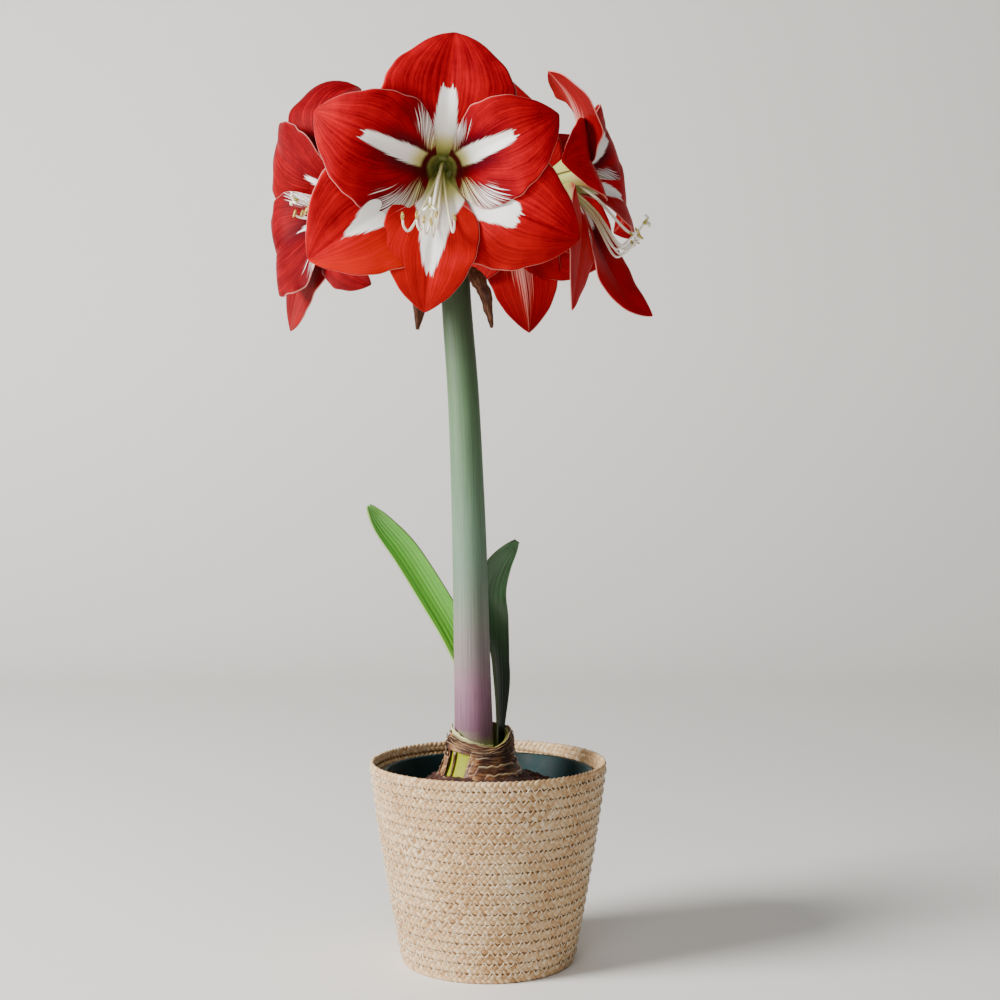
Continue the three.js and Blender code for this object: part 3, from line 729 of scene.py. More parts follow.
for name, flower in FLOWERS.items():
    bm = new_bmesh(*MARKS)
    for settings in flower["petals"]:
        p, half_width, place = petal_form(settings)
        spots = []

        def noted(u, w):
            spots.append((u, w))
            return place(u, w)

        verts = bent_grid(bm, *PETAL_GRID, noted)
        mark_petal(bm, verts, p, half_width, spots, flower["depth"])
    bmesh.ops.reverse_faces(bm, faces=bm.faces)
    bmesh.ops.transform(bm, matrix=facing(flower), verts=bm.verts)
    finish_piece(
        bm, f"{name}_flower_petals", [petal_face, petal_back],
        [f"flower_{name}_petals"], wall=PETAL_WALL, shells=2,
    )
    bm = new_bmesh()
    add_tube(bm)
    bmesh.ops.transform(bm, matrix=facing(flower), verts=bm.verts)
    finish_piece(bm, f"{name}_flower_tube", [tube_flesh])

# %% [markdown]
# ## Stamens and style
#
# Each flower has six white filaments that sweep down along its lowest petal and curl up at their
# ends. An anther hangs across the tip of each, with a dusting of pale pollen. The style is a little
# longer and ends in a stigma with three curled lobes.

# %% Finish of filaments and anthers
filament_white, tree, shader = new_material(
    "filament_ivory", Roughness=0.4, Subsurface_Weight=0.15,
    Subsurface_Radius=(1, 0.9, 0.6), Subsurface_Scale=1.5 * MM,
)
uv = add_node(tree, "UVMap", uv_map="UVMap").outputs["UV"]
along = add_node(tree, "SeparateXYZ", {"Vector": uv}).outputs["X"]
ramp = add_node(tree, "ValToRGB", {"Fac": along})
# yellow-green in the tube, ivory where they come out of it
set_stops(ramp, [(0.2, "#b9b85a"), (0.42, "#e8e2b4"), (0.62, "#f7f1e4"), (1, "#fbf4ea")])
tree.links.new(ramp.outputs[0], shader.inputs["Base Color"])

pollen_cream, tree, shader = new_material("pollen_cream", Roughness=0.85)
spot = add_node(tree, "TexCoord").outputs["Object"]
grains = add_node(tree, "TexNoise", {"Vector": spot, "Scale": 900, "Detail": 2}).outputs["Fac"]
ramp = add_node(tree, "ValToRGB", {"Fac": grains})
set_stops(ramp, [(0.35, "#6e5620"), (0.5, "#b59b48"), (0.7, "#e2d290")])
tree.links.new(ramp.outputs[0], shader.inputs["Base Color"])
dust = add_node(tree, "Bump", {"Height": grains, "Strength": 0.6, "Distance": 0.3 * MM})
tree.links.new(dust.outputs[0], shader.inputs["Normal"])

# %% Stamens and styles of the four flowers
CLEARANCE = 0.35
ANTHER_SIZE = (1.1, 3.1, 1.2)  # half sizes
ANTHER_NOD = -0.4  # radians
# radius at the foot, and how much of it is lost at the tip
FILAMENT_TAPER, STYLE_TAPER, LOBE_TAPER = (1.1, 0.4), (1.25, 0.3), (1.15, 0.35)
# right of, above and in front of the middle of the six
ANTHER_PLACES = [
    (-24, 1, 3), (-15, 1, -2), (-10.5, -1, 3), (-6, -3, -4), (-2.5, 2, 1), (9, 0, -2),
]
STIGMA = (-6, 9, 9)
STIGMA_LOBE = 5.4


def filament_line(flower, x, up, ahead):
    y, z, sag = up - flower["drop"], flower["forward"] + ahead, flower["sag"]
    return line_through([
        (x * 0.04, -1.5, 1),
        (x * 0.1, -4, z * 0.26),
        (x * 0.35, y * 0.5 - 0.4 * sag, z * 0.56),
        (x * 0.8, y - sag, z - 15),
        (x * 0.97, y - 0.8 * sag, z - 5),
        (x, y, z),
    ])


def add_anther(bm, spot, number):
    made = bmesh.ops.create_uvsphere(bm, u_segments=14, v_segments=12, radius=1)["verts"]
    for vert in made:
        # two pollen sacs with a groove between them, bent like a boat
        vert.co.z -= 0.35 * exp(-((vert.co.x / 0.3) ** 2)) * (1 if vert.co.z > 0 else -1)
        vert.co = Vector(vert.co[k] * ANTHER_SIZE[k] for k in range(3))
        vert.co.z += 0.06 * vert.co.y**2
    turn = Matrix.Rotation(ANTHER_NOD, 4, "X") @ Matrix.Rotation(0.5 * sin(3 * number), 4, "Z")
    shift = Matrix.Translation(spot + Vector((0, 1, 0)))
    bmesh.ops.transform(bm, matrix=shift @ turn, verts=made)


for name, flower in FLOWERS.items():
    filaments, anthers = new_bmesh(), new_bmesh()
    for number, (x, up, ahead) in enumerate(ANTHER_PLACES):
        line = filament_line(flower, x, up, ahead)
        add_rod(filaments, line, tapered(*FILAMENT_TAPER), 10, 36)
        add_anther(anthers, line(1), number)
    for bm in (filaments, anthers):
        bmesh.ops.transform(bm, matrix=facing(flower), verts=bm.verts)
    finish_piece(
        filaments, f"{name}_flower_filaments", [filament_white],
        [f"flower_{name}_stamens"],
    )
    finish_piece(anthers, f"{name}_flower_anthers", [pollen_cream])

    bm = new_bmesh()
    x, y, z = STIGMA[0], STIGMA[1] - flower["drop"], STIGMA[2] + flower["forward"]
    style_line = line_through([
        (0, 1.6, CLEARANCE + 4), (0, 2.4, z * 0.24), (x * 0.4, y * 0.4, z * 0.54),
        (x * 0.8, y - 3, z * 0.8), (x, y, z),
    ])
    add_rod(bm, style_line, tapered(*STYLE_TAPER), 12, 40)
    for turn in (90, 210, 330):
        a = radians(turn)
        out = Vector((cos(a), sin(a), 0))
        tip = Vector((x, y, z))
        lobe = line_through([
            tip - Vector((0, 0, 1.5)),
            tip + out * STIGMA_LOBE / 2 + Vector((0, 0, 2.2)),
            tip + out * STIGMA_LOBE + Vector((0, 0, 1.2)),
        ])
        add_rod(bm, lobe, tapered(*LOBE_TAPER), 10, 12, reference=(0, 0, 1))
    bmesh.ops.transform(bm, matrix=facing(flower), verts=bm.verts)
    finish_piece(
        bm, f"{name}_flower_style", [filament_white], [f"flower_{name}_style"]
    )

# %% [markdown]
# ## Stalk and floret stalks
#
# The tall stalk is a hollow, slightly fleshy tube. A waxy bloom makes its green grey, and near the
# bulb it is flushed with purple. Fine lines run up it: noise that is drawn out along a piece, which
# the leaves, the dry skin and the straw use too. The four floret stalks that leave its top are
# fresher green, and each swells into the ovary behind its flower.

# %% Fibres
def fibres_along(tree, per_length, per_width, **more):
    """Noise drawn out into fibres: so many waves along a piece, and so many across it."""
    uv = add_node(tree, "UVMap", uv_map="UVMap").outputs["UV"]
    scale = (per_length, per_width, 1)
    drawn_out = add_node(tree, "Mapping", {"Vector": uv, "Scale": scale}).outputs[0]
    values = {"Vector": drawn_out, "Scale": 1, "Detail": 3, **more}
    return add_node(tree, "TexNoise", values).outputs["Fac"]


def lined(tree, colour, fibres, *stops):
    """A colour times a ramp that is dark in the hollows between the fibres."""
    shade = add_node(tree, "ValToRGB", {"Fac": fibres})
    set_stops(shade, stops)
    return add_node(
        tree, "Mix", {"Factor": 1, 6: colour, 7: shade.outputs[0]},
        data_type="RGBA", blend_type="MULTIPLY",
    ).outputs[2]


# %% Finish of the stalk
stalk_wax, tree, shader = new_material(
    "waxy_stalk", Roughness=0.55, Specular_IOR_Level=0.3, Subsurface_Weight=0.05,
    Subsurface_Radius=(0.5, 1, 0.4), Subsurface_Scale=2 * MM,
)
spot = add_node(tree, "TexCoord").outputs["Object"]
height = add_node(tree, "SeparateXYZ", {"Vector": spot}).outputs["Z"]
# from the neck at 150 mm to the umbel at 506 mm
share = add_node(
    tree, "MapRange",
    {"Value": height, "From Min": 0.15, "From Max": 0.506, "To Min": 0, "To Max": 1},
).outputs[0]
drift = add_node(tree, "TexNoise", {"Vector": spot, "Scale": 22, "Detail": 3}).outputs["Fac"]
share = add_node(
    tree, "Math", {0: drift, 1: 0.14, 2: share}, operation="MULTIPLY_ADD"
).outputs[0]
ramp = add_node(tree, "ValToRGB", {"Fac": share})
# the top stops turn darker and browner: painted shade of the flowers above
set_stops(ramp, [
    (0.1, "#93a35c"), (0.125, "#80596a"), (0.2, "#946c7d"), (0.34, "#818577"),
    (0.46, "#6f8a72"), (0.75, "#5f7c59"), (1, "#46553a"),
])
# 110 lines round a girth of 64 to 99 mm, so 0.6 to 0.9 mm apart
fibres = fibres_along(tree, 7, 110)
green = lined(tree, ramp.outputs[0], fibres, (0.3, "#c9c9c9"), (0.7, "#ffffff"))
tree.links.new(green, shader.inputs["Base Color"])
ridges = add_node(tree, "Bump", {"Height": fibres, "Strength": 0.15, "Distance": 0.5 * MM})
tree.links.new(ridges.outputs[0], shader.inputs["Normal"])

# %% The tall stalk
STALK_LINE = [
    (-9.8, -1.2, 140), (-10.2, -1.2, 160), (-11.2, -1, 203), (-13.2, 0, 290),
    (-15, 0, 345), (-18, 0, 410), (-22.5, 0, 470), (-24, 0, 506),
]
UMBEL = Vector(STALK_LINE[-1])
STALK_FOOT, STALK_TOP, STALK_HEAD = 15.8, 10.2, 12.4  # radii


def stalk_radius(t):
    head = (STALK_HEAD - STALK_TOP) * smooth(t, 0.95, 0.985)
    return mix(STALK_FOOT, STALK_TOP, t**0.62) + head


bm = new_bmesh()
add_rod(bm, line_through(STALK_LINE), stalk_radius, 56, 120, reference=(0, 1, 0))
finish_piece(bm, "tall_stalk", [stalk_wax], ["flower_stalk"])

# %% Finish of the floret stalks
floret_green, tree, shader = new_material(
    "floret_stalk_skin", Roughness=0.38, Subsurface_Weight=0.08,
    Subsurface_Radius=(0.5, 1, 0.3), Subsurface_Scale=2 * MM,
)
uv = add_node(tree, "UVMap", uv_map="UVMap").outputs["UV"]
along = add_node(tree, "SeparateXYZ", {"Vector": uv}).outputs["X"]
ramp = add_node(tree, "ValToRGB", {"Fac": along})
set_stops(ramp, [(0, "#6f7f4a"), (0.5, "#86a055"), (0.85, "#8fae52"), (1, "#b4b878")])
# 26 lines round a girth of 24 to 40 mm, so 1 to 1.5 mm apart
fibres = fibres_along(tree, 3, 26)
green = lined(tree, ramp.outputs[0], fibres, (0.3, "#bfc4b4"), (0.7, "#ffffff"))
tree.links.new(green, shader.inputs["Base Color"])

# %% Floret stalks
FLORET_OFFSET, FLORET_RADIUS, OVARY_SWELLING = 6.8, 3.8, 2.6
FLORET_RISE, FLORET_APPROACH = 36, 30
FLOWER_FOOT = TUBE[0][1]


def floret_radius(t):
    ovary = smooth(t, 0.66, 0.84) - 0.35 * smooth(t, 0.88, 1)
    return FLORET_RADIUS + OVARY_SWELLING * ovary


def floret_line(flower):
    axis = facing(flower).to_3x3() @ Vector((0, 0, 1))
    out = Vector((axis.x, axis.y, 0)).normalized()
    start = UMBEL + out * FLORET_OFFSET + Vector((0, 0, 2 * CLEARANCE))
    end = Vector(flower["place"]) + axis * (FLOWER_FOOT - CLEARANCE)
    a, b = start + Vector((0, 0, FLORET_RISE)), end - axis * FLORET_APPROACH

    def at(t):
        s = 1 - t
        return start * s**3 + 3 * a * s * s * t + 3 * b * s * t * t + end * t**3

    return at, out.cross(Vector((0, 0, 1)))


for name, flower in FLOWERS.items():
    line, sideways = floret_line(flower)
    bm = new_bmesh()
    add_rod(bm, line, floret_radius, 30, 48, reference=sideways)
    finish_piece(
        bm, f"{name}_floret_stalk", [floret_green], [f"flower_{name}_stalk"]
    )

# %% [markdown]
# ## Straps: leaves and bracts
#
# A leaf is a strap along a line. Its width turns to a bearing that may change on the way, and its
# middle is folded into a shallow channel. Parallel veins run up the whole leaf: they are modelled
# as shallow furrows and drawn in the finish as well.

# %% Strap formula
def strap_place(shape):
    line = line_through(shape["line"])

    def place(u, w):
        v = 2 * w - 1
        run = direction(line, u)
        bearing = radians(shape["bearing"](u))
        width = Vector((cos(bearing), sin(bearing), 0))
        width = (width - run * width.dot(run)).normalized()
        hollow = width.cross(run)
        half = shape["half"](u)
        depth = shape["channel"] * half * v * v
        depth += shape["furrow"] * sin(shape["veins"] * pi * v) * smooth(u, 0.1, 0.3)
        depth += shape["crumple"] * noise.noise(Vector((u * 5, v * 1.5, half)))
        return line(u) + width * half * v + hollow * depth

    return place


def leaf_half(foot, full):
    def half(u):
        point = max(0, (u - 0.55) / 0.45)
        width = mix(foot, full, smooth(u, 0.12, 0.4))
        return width * max(0.03, (1 - point**2.4)) ** 0.6

    return half


# %% [markdown]
# A young leaf is smooth and a little waxy, so it shines softly, and its margins are painted paler
# where light comes through them. The left leaf stands in the light and is a fresh green. The right
# one stands in the stalk's shade, so it has a copy of the finish with painted shade, and its foot
# is painted nearly black.

# %% Finish of the leaves
def leaf_skin(name, greens, vein_shade, margin):
    material, tree, shader = new_material(
        name, Roughness=0.36, Coat_Weight=0.08, Subsurface_Weight=0.08,
        Subsurface_Radius=(0.4, 1, 0.2), Subsurface_Scale=2 * MM,
    )
    uv = add_node(tree, "UVMap", uv_map="UVMap").outputs["UV"]
    split = add_node(tree, "SeparateXYZ", {"Vector": uv}).outputs
    ramp = add_node(tree, "ValToRGB", {"Fac": split["X"]})
    set_stops(ramp, greens)
    # 46 veins across 21 to 26 mm, so about half a millimetre apart
    veins = fibres_along(tree, 3, 46)
    green = lined(tree, ramp.outputs[0], veins, (0.32, vein_shade), (0.66, "#ffffff"))
    # a thin margin, painted paler as the light that shines through it
    edge = add_node(
        tree, "MapRange",
        {
            "Value": from_midrib(tree, split["Y"]),
            "From Min": 0.485, "From Max": 0.5, "To Min": 0, "To Max": margin,
        },
    ).outputs[0]
    green = add_node(
        tree, "Mix", {"Factor": edge, 6: green, 7: linear("#b3bd74")}, data_type="RGBA"
    ).outputs[2]
    tree.links.new(green, shader.inputs["Base Color"])
    furrows = add_node(tree, "Bump", {"Height": veins, "Strength": 0.3, "Distance": 0.5 * MM})
    tree.links.new(furrows.outputs[0], shader.inputs["Normal"])
    return material


fresh_leaf = leaf_skin(
    "fresh_leaf_skin",
    [(0.2, "#9cc05a"), (0.45, "#6ab030"), (0.8, "#549a2c"), (1, "#5d8a3c")],
    "#9fbd84",
    margin=0.4,
)
# painted shade: darker greens and a fainter margin for the leaf in the stalk's shade
leaf_in_painted_shade = leaf_skin(
    "leaf_skin_painted_shade",
    [(0.1, "#161c0c"), (0.4, "#1f3016"), (0.62, "#386230"), (1, "#527d50")],
    "#9fae98",
    margin=0.1,
)

# %% Leaves
LEAF = {"channel": 0.3, "furrow": 0.16, "veins": 7, "crumple": 0}
LEFT_LEAF = {
    **LEAF,
    "line": [
        (-8, 15.2, 143), (-8, 15.6, 165), (-10, 19, 200), (-22, 22, 229),
        (-38, 22, 257), (-60, 21, 292), (-76, 19, 312), (-87.5, 17, 327),
    ],
    "half": leaf_half(6.5, 10.6),
    "bearing": lambda u: 0,
}
RIGHT_LEAF = {
    **LEAF,
    "line": [
        (7.0, 1, 143), (7.6, 2, 165), (7.4, 8, 190), (5.6, 15, 215),
        (2.4, 23, 240), (0.4, 24, 262), (7, 22, 282), (21, 19, 301),
    ],
    "half": leaf_half(5.5, 13),
    "bearing": lambda u: mix(66, 8, smooth(u, 0.4, 0.78)),
}
LEAF_WALL = 1.8
for side, shape, skin in (("left", LEFT_LEAF, fresh_leaf), ("right", RIGHT_LEAF, leaf_in_painted_shade)):
    bm = new_bmesh()
    bent_grid(bm, 120, 28, strap_place(shape))
    finish_piece(
        bm, f"{side}_leaf_blade", [skin], [f"leaf_{side}"], wall=LEAF_WALL
    )

# %% [markdown]
# Two bracts once wrapped the buds. They are dry now: thin as paper, brown, creased lengthwise, and
# curled inwards as they hang from the top of the stalk.

# %% Bracts
dry_bract, tree, shader = new_material("dry_bract_paper", Roughness=0.7)
creases = fibres_along(tree, 2.5, 22, Detail=4)
ramp = add_node(tree, "ValToRGB", {"Fac": creases})
set_stops(ramp, [(0.3, "#33170f"), (0.48, "#643620"), (0.62, "#835838"), (0.8, "#a88462")])
tree.links.new(ramp.outputs[0], shader.inputs["Base Color"])
wrinkles = add_node(tree, "Bump", {"Height": creases, "Strength": 0.8, "Distance": 1.2 * MM})
tree.links.new(wrinkles.outputs[0], shader.inputs["Normal"])

BRACT_HALF, BRACT_WALL = 8.2, 0.5
BRACTS = {
    "bract_left": ([(-38.4, -3, 498), (-43.5, -5, 491), (-48, -7, 476), (-50.5, -9, 453)], -20),
    "bract_right": ([(-13, -7.5, 498), (-5, -12, 491), (0, -13, 478), (3, -11, 454)], 20),
}
for name, (line, bearing) in BRACTS.items():
    bm = new_bmesh()
    shape = {
        "line": line,
        "half": lambda u: mix(0.5, BRACT_HALF, sin(pi * (0.12 + 0.86 * u**0.8))),
        "bearing": lambda u, bearing=bearing: bearing + 25 * sin(3 * u),
        "channel": 0.55,
        "furrow": 0.35,
        "veins": 9,
        "crumple": 1.6,
    }
    bent_grid(bm, 70, 32, strap_place(shape))
    finish_piece(bm, f"{name}_sheath", [dry_bract], [name], wall=BRACT_WALL)

# %% [markdown]
# ## The bulb and its dry skin
#
# The bulb is a ball of fleshy scales with a neck. Only the neck shows. Its flesh is yellow-green
# with faint lines that run up it, and inside the neck stand the pale rims of the inner scales. One
# turned profile makes it: it runs from the base up the outside, over the rim and down into the
# hollow that the stalk and the leaves rise from.

# %% Finish of the flesh
bulb_flesh, tree, shader = new_material(
    "bulb_flesh", Roughness=0.5, Specular_IOR_Level=0.12, Subsurface_Weight=0.12,
    Subsurface_Radius=(1, 0.9, 0.3), Subsurface_Scale=3 * MM,
)
spot = add_node(tree, "TexCoord").outputs["Object"]
# 90 lines round a neck of 140 mm, so 1.6 mm apart
veins = fibres_along(tree, 5, 90)
patches = add_node(tree, "TexNoise", {"Vector": spot, "Scale": 70, "Detail": 3}).outputs["Fac"]
share = add_node(tree, "Math", {0: veins, 1: patches}, operation="ADD").outputs[0]
share = add_node(tree, "Math", {0: share, 1: 0.5}, operation="MULTIPLY").outputs[0]
ramp = add_node(tree, "ValToRGB", {"Fac": share})
set_stops(ramp, [(0.36, "#6c760c"), (0.48, "#8c920a"), (0.6, "#999a10"), (0.78, "#a8a62c")])
# the rim has dried to a dull brown-green
height = add_node(tree, "SeparateXYZ", {"Vector": spot}).outputs["Z"]
dried = add_node(
    tree, "MapRange",
    {"Value": height, "From Min": 0.152, "From Max": 0.161, "To Min": 0, "To Max": 0.9},
).outputs[0]
rimmed = add_node(
    tree, "Mix", {"Factor": dried, 6: ramp.outputs[0], 7: linear("#6d6a35")}, data_type="RGBA"
).outputs[2]
tree.links.new(rimmed, shader.inputs["Base Color"])

# %% Bulb
BULB_X = -5.5
# radius and height, from the basal plate to the top of the neck
BULB_PROFILE = [
    (0, 60), (20, 60), (38, 68), (49, 84), (50, 97), (44, 112), (34, 125), (27, 136),
    (23.2, 147), (21.8, 157), (21.2, 163),
]
NECK_TOP = BULB_PROFILE[-1][1]
NECK_HOLE, HOLE_FLOOR = 18.7, 139


def bulb_radius(z):
    for (r0, z0), (r1, z1) in zip(BULB_PROFILE[1:], BULB_PROFILE[2:]):
        if z <= z1:
            return mix(r0, r1, (z - z0) / (z1 - z0))
    return BULB_PROFILE[-1][0]


def turned(outline, centre_x=0):
    """Place function of a grid that is turned round Z: u runs along the outline, w round it."""
    line = line_through([(r, 0, z) for r, z in outline])

    def place(u, w):
        spot = line(u)
        a = 2 * pi * w
        return Vector((centre_x + max(0, spot.x) * cos(a), max(0, spot.x) * sin(a), spot.z))

    return place


def rim_dip(a, z):
    """How far the neck's rim is from level at an angle: torn down in front, higher at the back."""
    front, back = max(0, cos(a - radians(285))) ** 2, max(0, cos(a - radians(60)))
    return (3 * back - 7.5 * front) * smooth(z, 144, NECK_TOP)


bulb_outline = BULB_PROFILE[:-1] + [
    (21.0, 162), (19.6, 162.6), (NECK_HOLE, 161), (NECK_HOLE, 150), (NECK_HOLE, HOLE_FLOOR),
    (10, HOLE_FLOOR), (0, HOLE_FLOOR),
]
bulb_turned = turned(bulb_outline, BULB_X)


def bulb_place(u, w):
    spot = bulb_turned(u, w)
    return spot + Vector((0, 0, rim_dip(2 * pi * w, spot.z)))


bm = new_bmesh()
bent_grid(bm, 110, 96, bulb_place, closed=True)
finish_piece(bm, "bulb_scales", [bulb_flesh], ["bulb"])

# %% [markdown]
# Over the flesh lie many turns of dead scales, dry and brown as old paper. They have shrunk into
# rings round the neck, frayed along their upper edges, and at the left front they are torn away so
# that the flesh shows. Each layer is a thin band with its own height, lean and ragged edge.

# %% Finish of the dry skin
dry_skin, tree, shader = new_material("dry_bulb_skin", Roughness=0.48)
uv = add_node(tree, "UVMap", uv_map="UVMap").outputs["UV"]
spot = add_node(tree, "TexCoord").outputs["Object"]
split = add_node(tree, "SeparateXYZ", {"Vector": uv}).outputs
# 24 fibres across a layer up to 46 mm high, so at most 2 mm apart
fibres = fibres_along(tree, 11, 24, Detail=4, Distortion=0.5)
stains = add_node(tree, "TexNoise", {"Vector": spot, "Scale": 90, "Detail": 4}).outputs["Fac"]
share = add_node(tree, "Math", {0: fibres, 1: stains}, operation="ADD").outputs[0]
share = add_node(tree, "Math", {0: share, 1: 0.5}, operation="MULTIPLY").outputs[0]
ramp = add_node(tree, "ValToRGB", {"Fac": share})
set_stops(ramp, [
    (0.36, "#170a06"), (0.45, "#3c1d10"), (0.51, "#6a3e20"), (0.58, "#94683a"), (0.68, "#cfa873"),
])
# the upper edge of each layer is paler
edge = add_node(
    tree, "MapRange",
    {"Value": split["Y"], "From Min": 0.955, "From Max": 1, "To Min": 0, "To Max": 0.7},
).outputs[0]
pale_edged = add_node(
    tree, "Mix", {"Factor": edge, 6: ramp.outputs[0], 7: linear("#d8bf93")}, data_type="RGBA"
).outputs[2]
tree.links.new(pale_edged, shader.inputs["Base Color"])
wrinkles = add_node(tree, "Bump", {"Height": share, "Strength": 0.9, "Distance": 1.0 * MM})
tree.links.new(wrinkles.outputs[0], shader.inputs["Normal"])

# %% Layers of dry skin
SKIN_GAP = 0.45
SKIN_WALL = 0.3
TEAR_FROM, TEAR_TO = 206, 259  # degrees round the bulb from +X
# first and last angle, lowest and highest level, distance from the flesh, and how many degrees
# further round its torn end lies at the foot
SKIN_LAYERS = [
    (TEAR_TO - 4, TEAR_FROM + 362, 112, 158, 0.3, 18),
    (TEAR_TO + 2, TEAR_FROM + 358, 112, 151, 0.9, 30),
    (TEAR_TO + 9, TEAR_FROM + 340, 110, 144, 1.5, 34),
    (TEAR_TO + 20, TEAR_FROM + 322, 108, 138, 2.2, 30),
    (TEAR_FROM - 50, TEAR_FROM + 3, 112, 148, 1.2, 0),
    (TEAR_FROM - 10, TEAR_TO + 12, 110, 134, 0.8, 0),
    (TEAR_FROM + 13, TEAR_FROM + 17, 116, 152, 0.1, -6),
    (0, 360, 157, 164.2, 0.1, 0),
    (40, 400, 155.5, 162, 0.7, 0),
    (150, 500, 154.5, 160, 1.2, 0),
    (200, 550, 153.5, 158.5, 1.6, 0),
    (TEAR_TO - 4, TEAR_FROM + 350, 148, 155, 1.5, 0),
]


def skin_layer(first, last, low, high, gap, slant, seed):
    def place(u, w):
        a = radians(mix(first - slant * (1 - w), last, u))
        # the torn edge: waves of 1.4 mm with teeth of 0.8 mm on them
        ragged = 1.4 * noise.noise(Vector((u * 9, seed, 0))) + 0.8 * noise.noise(
            Vector((u * 34, seed, 5))
        )
        level = mix(low, high + ragged, w)
        # no layer is level or quite round, its edge flares, and its torn ends lift off the flesh
        tilt = 0.8 * noise.noise(Vector((3 * cos(a), 3 * sin(a), seed)))
        z = level + rim_dip(a, level) + tilt * (1 if low > 120 else w)
        wave = noise.noise(Vector((u * 16, w * 2.5, seed * 3)))
        flare = 0.9 * smooth(w, 0.75, 1) * (0.5 + noise.noise(Vector((u * 13, 7, seed))))
        end = min(u, 1 - u) * 12
        lift = 0.9 * max(0, 1 - end) * (last - first < 360)
        r = bulb_radius(min(level, NECK_TOP)) + SKIN_GAP + gap + 0.5 * wave + flare + lift
        return Vector((BULB_X + r * cos(a), r * sin(a), z))

    return place


bm = new_bmesh()
for seed, layer in enumerate(SKIN_LAYERS):
    bent_grid(bm, 150, 16, skin_layer(*layer, seed))
finish_piece(bm, "dry_skin_layers", [dry_skin], ["bulb_skin"], wall=SKIN_WALL)

# %% [markdown]
# Frayed fibres and rolled edges lie round the neck like loose string. Short rods that follow the
# skin stand for them, each with its own angle, length and slope. The draw is seeded, so that they
# lie the same way each time.

# %% Fibres round the neck
FIBRES = 130
draw = Random(11)
bm = new_bmesh()
for _ in range(FIBRES):
    start = draw.uniform(TEAR_TO, TEAR_FROM + 352)
    span = draw.uniform(35, 110)
    level = draw.uniform(134, 162)
    if level < 155:
        span = min(span, max(8, TEAR_FROM + 356 - start))
    slope, gap = draw.uniform(-2.5, 3.5), draw.uniform(1.2, 2.9)
    wobble, thick = draw.uniform(0, 6), draw.uniform(0.16, 0.42)

    def fibre(t):
        a = radians(start + span * t)
        z = level + slope * t + 0.7 * sin(5 * t + wobble) + rim_dip(a, level)
        r = bulb_radius(min(z, NECK_TOP)) + gap + 0.5 * sin(7 * t + wobble)
        return Vector((BULB_X + r * cos(a), r * sin(a), z))

    add_rod(bm, fibre, lambda t: thick * (1 - 0.5 * t), 5, 26, reference=(0, 0, 1))
finish_piece(bm, "neck_fibres", [dry_skin])

# %% [markdown]
# In front, the youngest scale still clasps the foot of the stalk: a pale green collar, torn so that
# it stands high on the left and runs down to the right.

# %% Collar
collar_skin, tree, shader = new_material(
    "young_scale", Roughness=0.4, Subsurface_Weight=0.1,
    Subsurface_Radius=(1, 1, 0.4), Subsurface_Scale=2 * MM,
)
uv = add_node(tree, "UVMap", uv_map="UVMap").outputs["UV"]
split = add_node(tree, "SeparateXYZ", {"Vector": uv}).outputs
# its grid runs round the stalk, so the veins that run up it are 60 along the grid, 0.7 mm apart
veins = fibres_along(tree, 60, 6)
share = add_node(
    tree, "Math", {0: veins, 1: 0.5, 2: split["Y"]}, operation="MULTIPLY_ADD"
).outputs[0]
ramp = add_node(tree, "ValToRGB", {"Fac": share})
set_stops(ramp, [(0.5, "#6f8030"), (0.95, "#84963f"), (1.14, "#98a352"), (1.3, "#c2bc84")])
tree.links.new(ramp.outputs[0], shader.inputs["Base Color"])


COLLAR_X, COLLAR_Y = -10, -1.2  # the middle of the stalk's foot
COLLAR_FROM, COLLAR_TO = 165, 325  # degrees round it from +X
COLLAR_FOOT, COLLAR_LEFT, COLLAR_RIGHT = 148, 169.5, 156.5  # heights
COLLAR_WALL = 0.5


def collar_place(u, w):
    a = radians(mix(COLLAR_FROM, COLLAR_TO, u))
    top = mix(COLLAR_LEFT, COLLAR_RIGHT, smooth(u, 0, 0.95))
    top += 1.3 * noise.noise(Vector((u * 12, 3, 0))) + 0.7 * noise.noise(Vector((u * 40, 3, 5)))
    r = mix(15.2, 16.4, w * w) + 0.4 * noise.noise(Vector((u * 9, w * 3, 8)))
    return Vector((COLLAR_X + r * cos(a), COLLAR_Y + r * sin(a), mix(COLLAR_FOOT, top, w)))


bm = new_bmesh()
bent_grid(bm, 110, 12, collar_place)
finish_piece(bm, "neck_collar", [collar_skin], wall=COLLAR_WALL)

# %% [markdown]
# ## Soil
#
# Moist peat fills the pot and is heaped against the bulb. The body is turned like the pot, with a
# plain hole where the bulb sits, and noise raises lumps on its top. About a thousand crumbs lie on
# it. Each crumb is a small ball of 20 faces, squeezed and turned.

# %% Finish of the peat
peat, tree, shader = new_material("moist_peat", Roughness=0.95)
spot = add_node(tree, "TexCoord").outputs["Object"]
grain = add_node(
    tree, "TexNoise", {"Vector": spot, "Scale": 420, "Detail": 5, "Roughness": 0.7}
).outputs["Fac"]
ramp = add_node(tree, "ValToRGB", {"Fac": grain})
set_stops(ramp, [(0.34, "#140a06"), (0.5, "#3a1d12"), (0.6, "#5c2f1d"), (0.72, "#7c5236")])
tree.links.new(ramp.outputs[0], shader.inputs["Base Color"])
rough = add_node(tree, "Bump", {"Height": grain, "Strength": 1, "Distance": 1.5 * MM})
tree.links.new(rough.outputs[0], shader.inputs["Normal"])

# %% Pot and soil sizes
BASKET_FLOOR = 5
POT_FOOT = BASKET_FLOOR + CLEARANCE
POT_HEIGHT, POT_BASE, POT_RIM, POT_WALL = 131, 50, 74.5, 1.4
LIP_WIDTH, LIP_HEIGHT = 1.7, 5
SOIL_EDGE, SOIL_MOUND = 112, 136


def pot_radius(z):
    return mix(POT_BASE, POT_RIM, (z - POT_FOOT) / POT_HEIGHT)


print("pot:", 2 * POT_RIM, "mm across its rim and", POT_HEIGHT, "mm high")


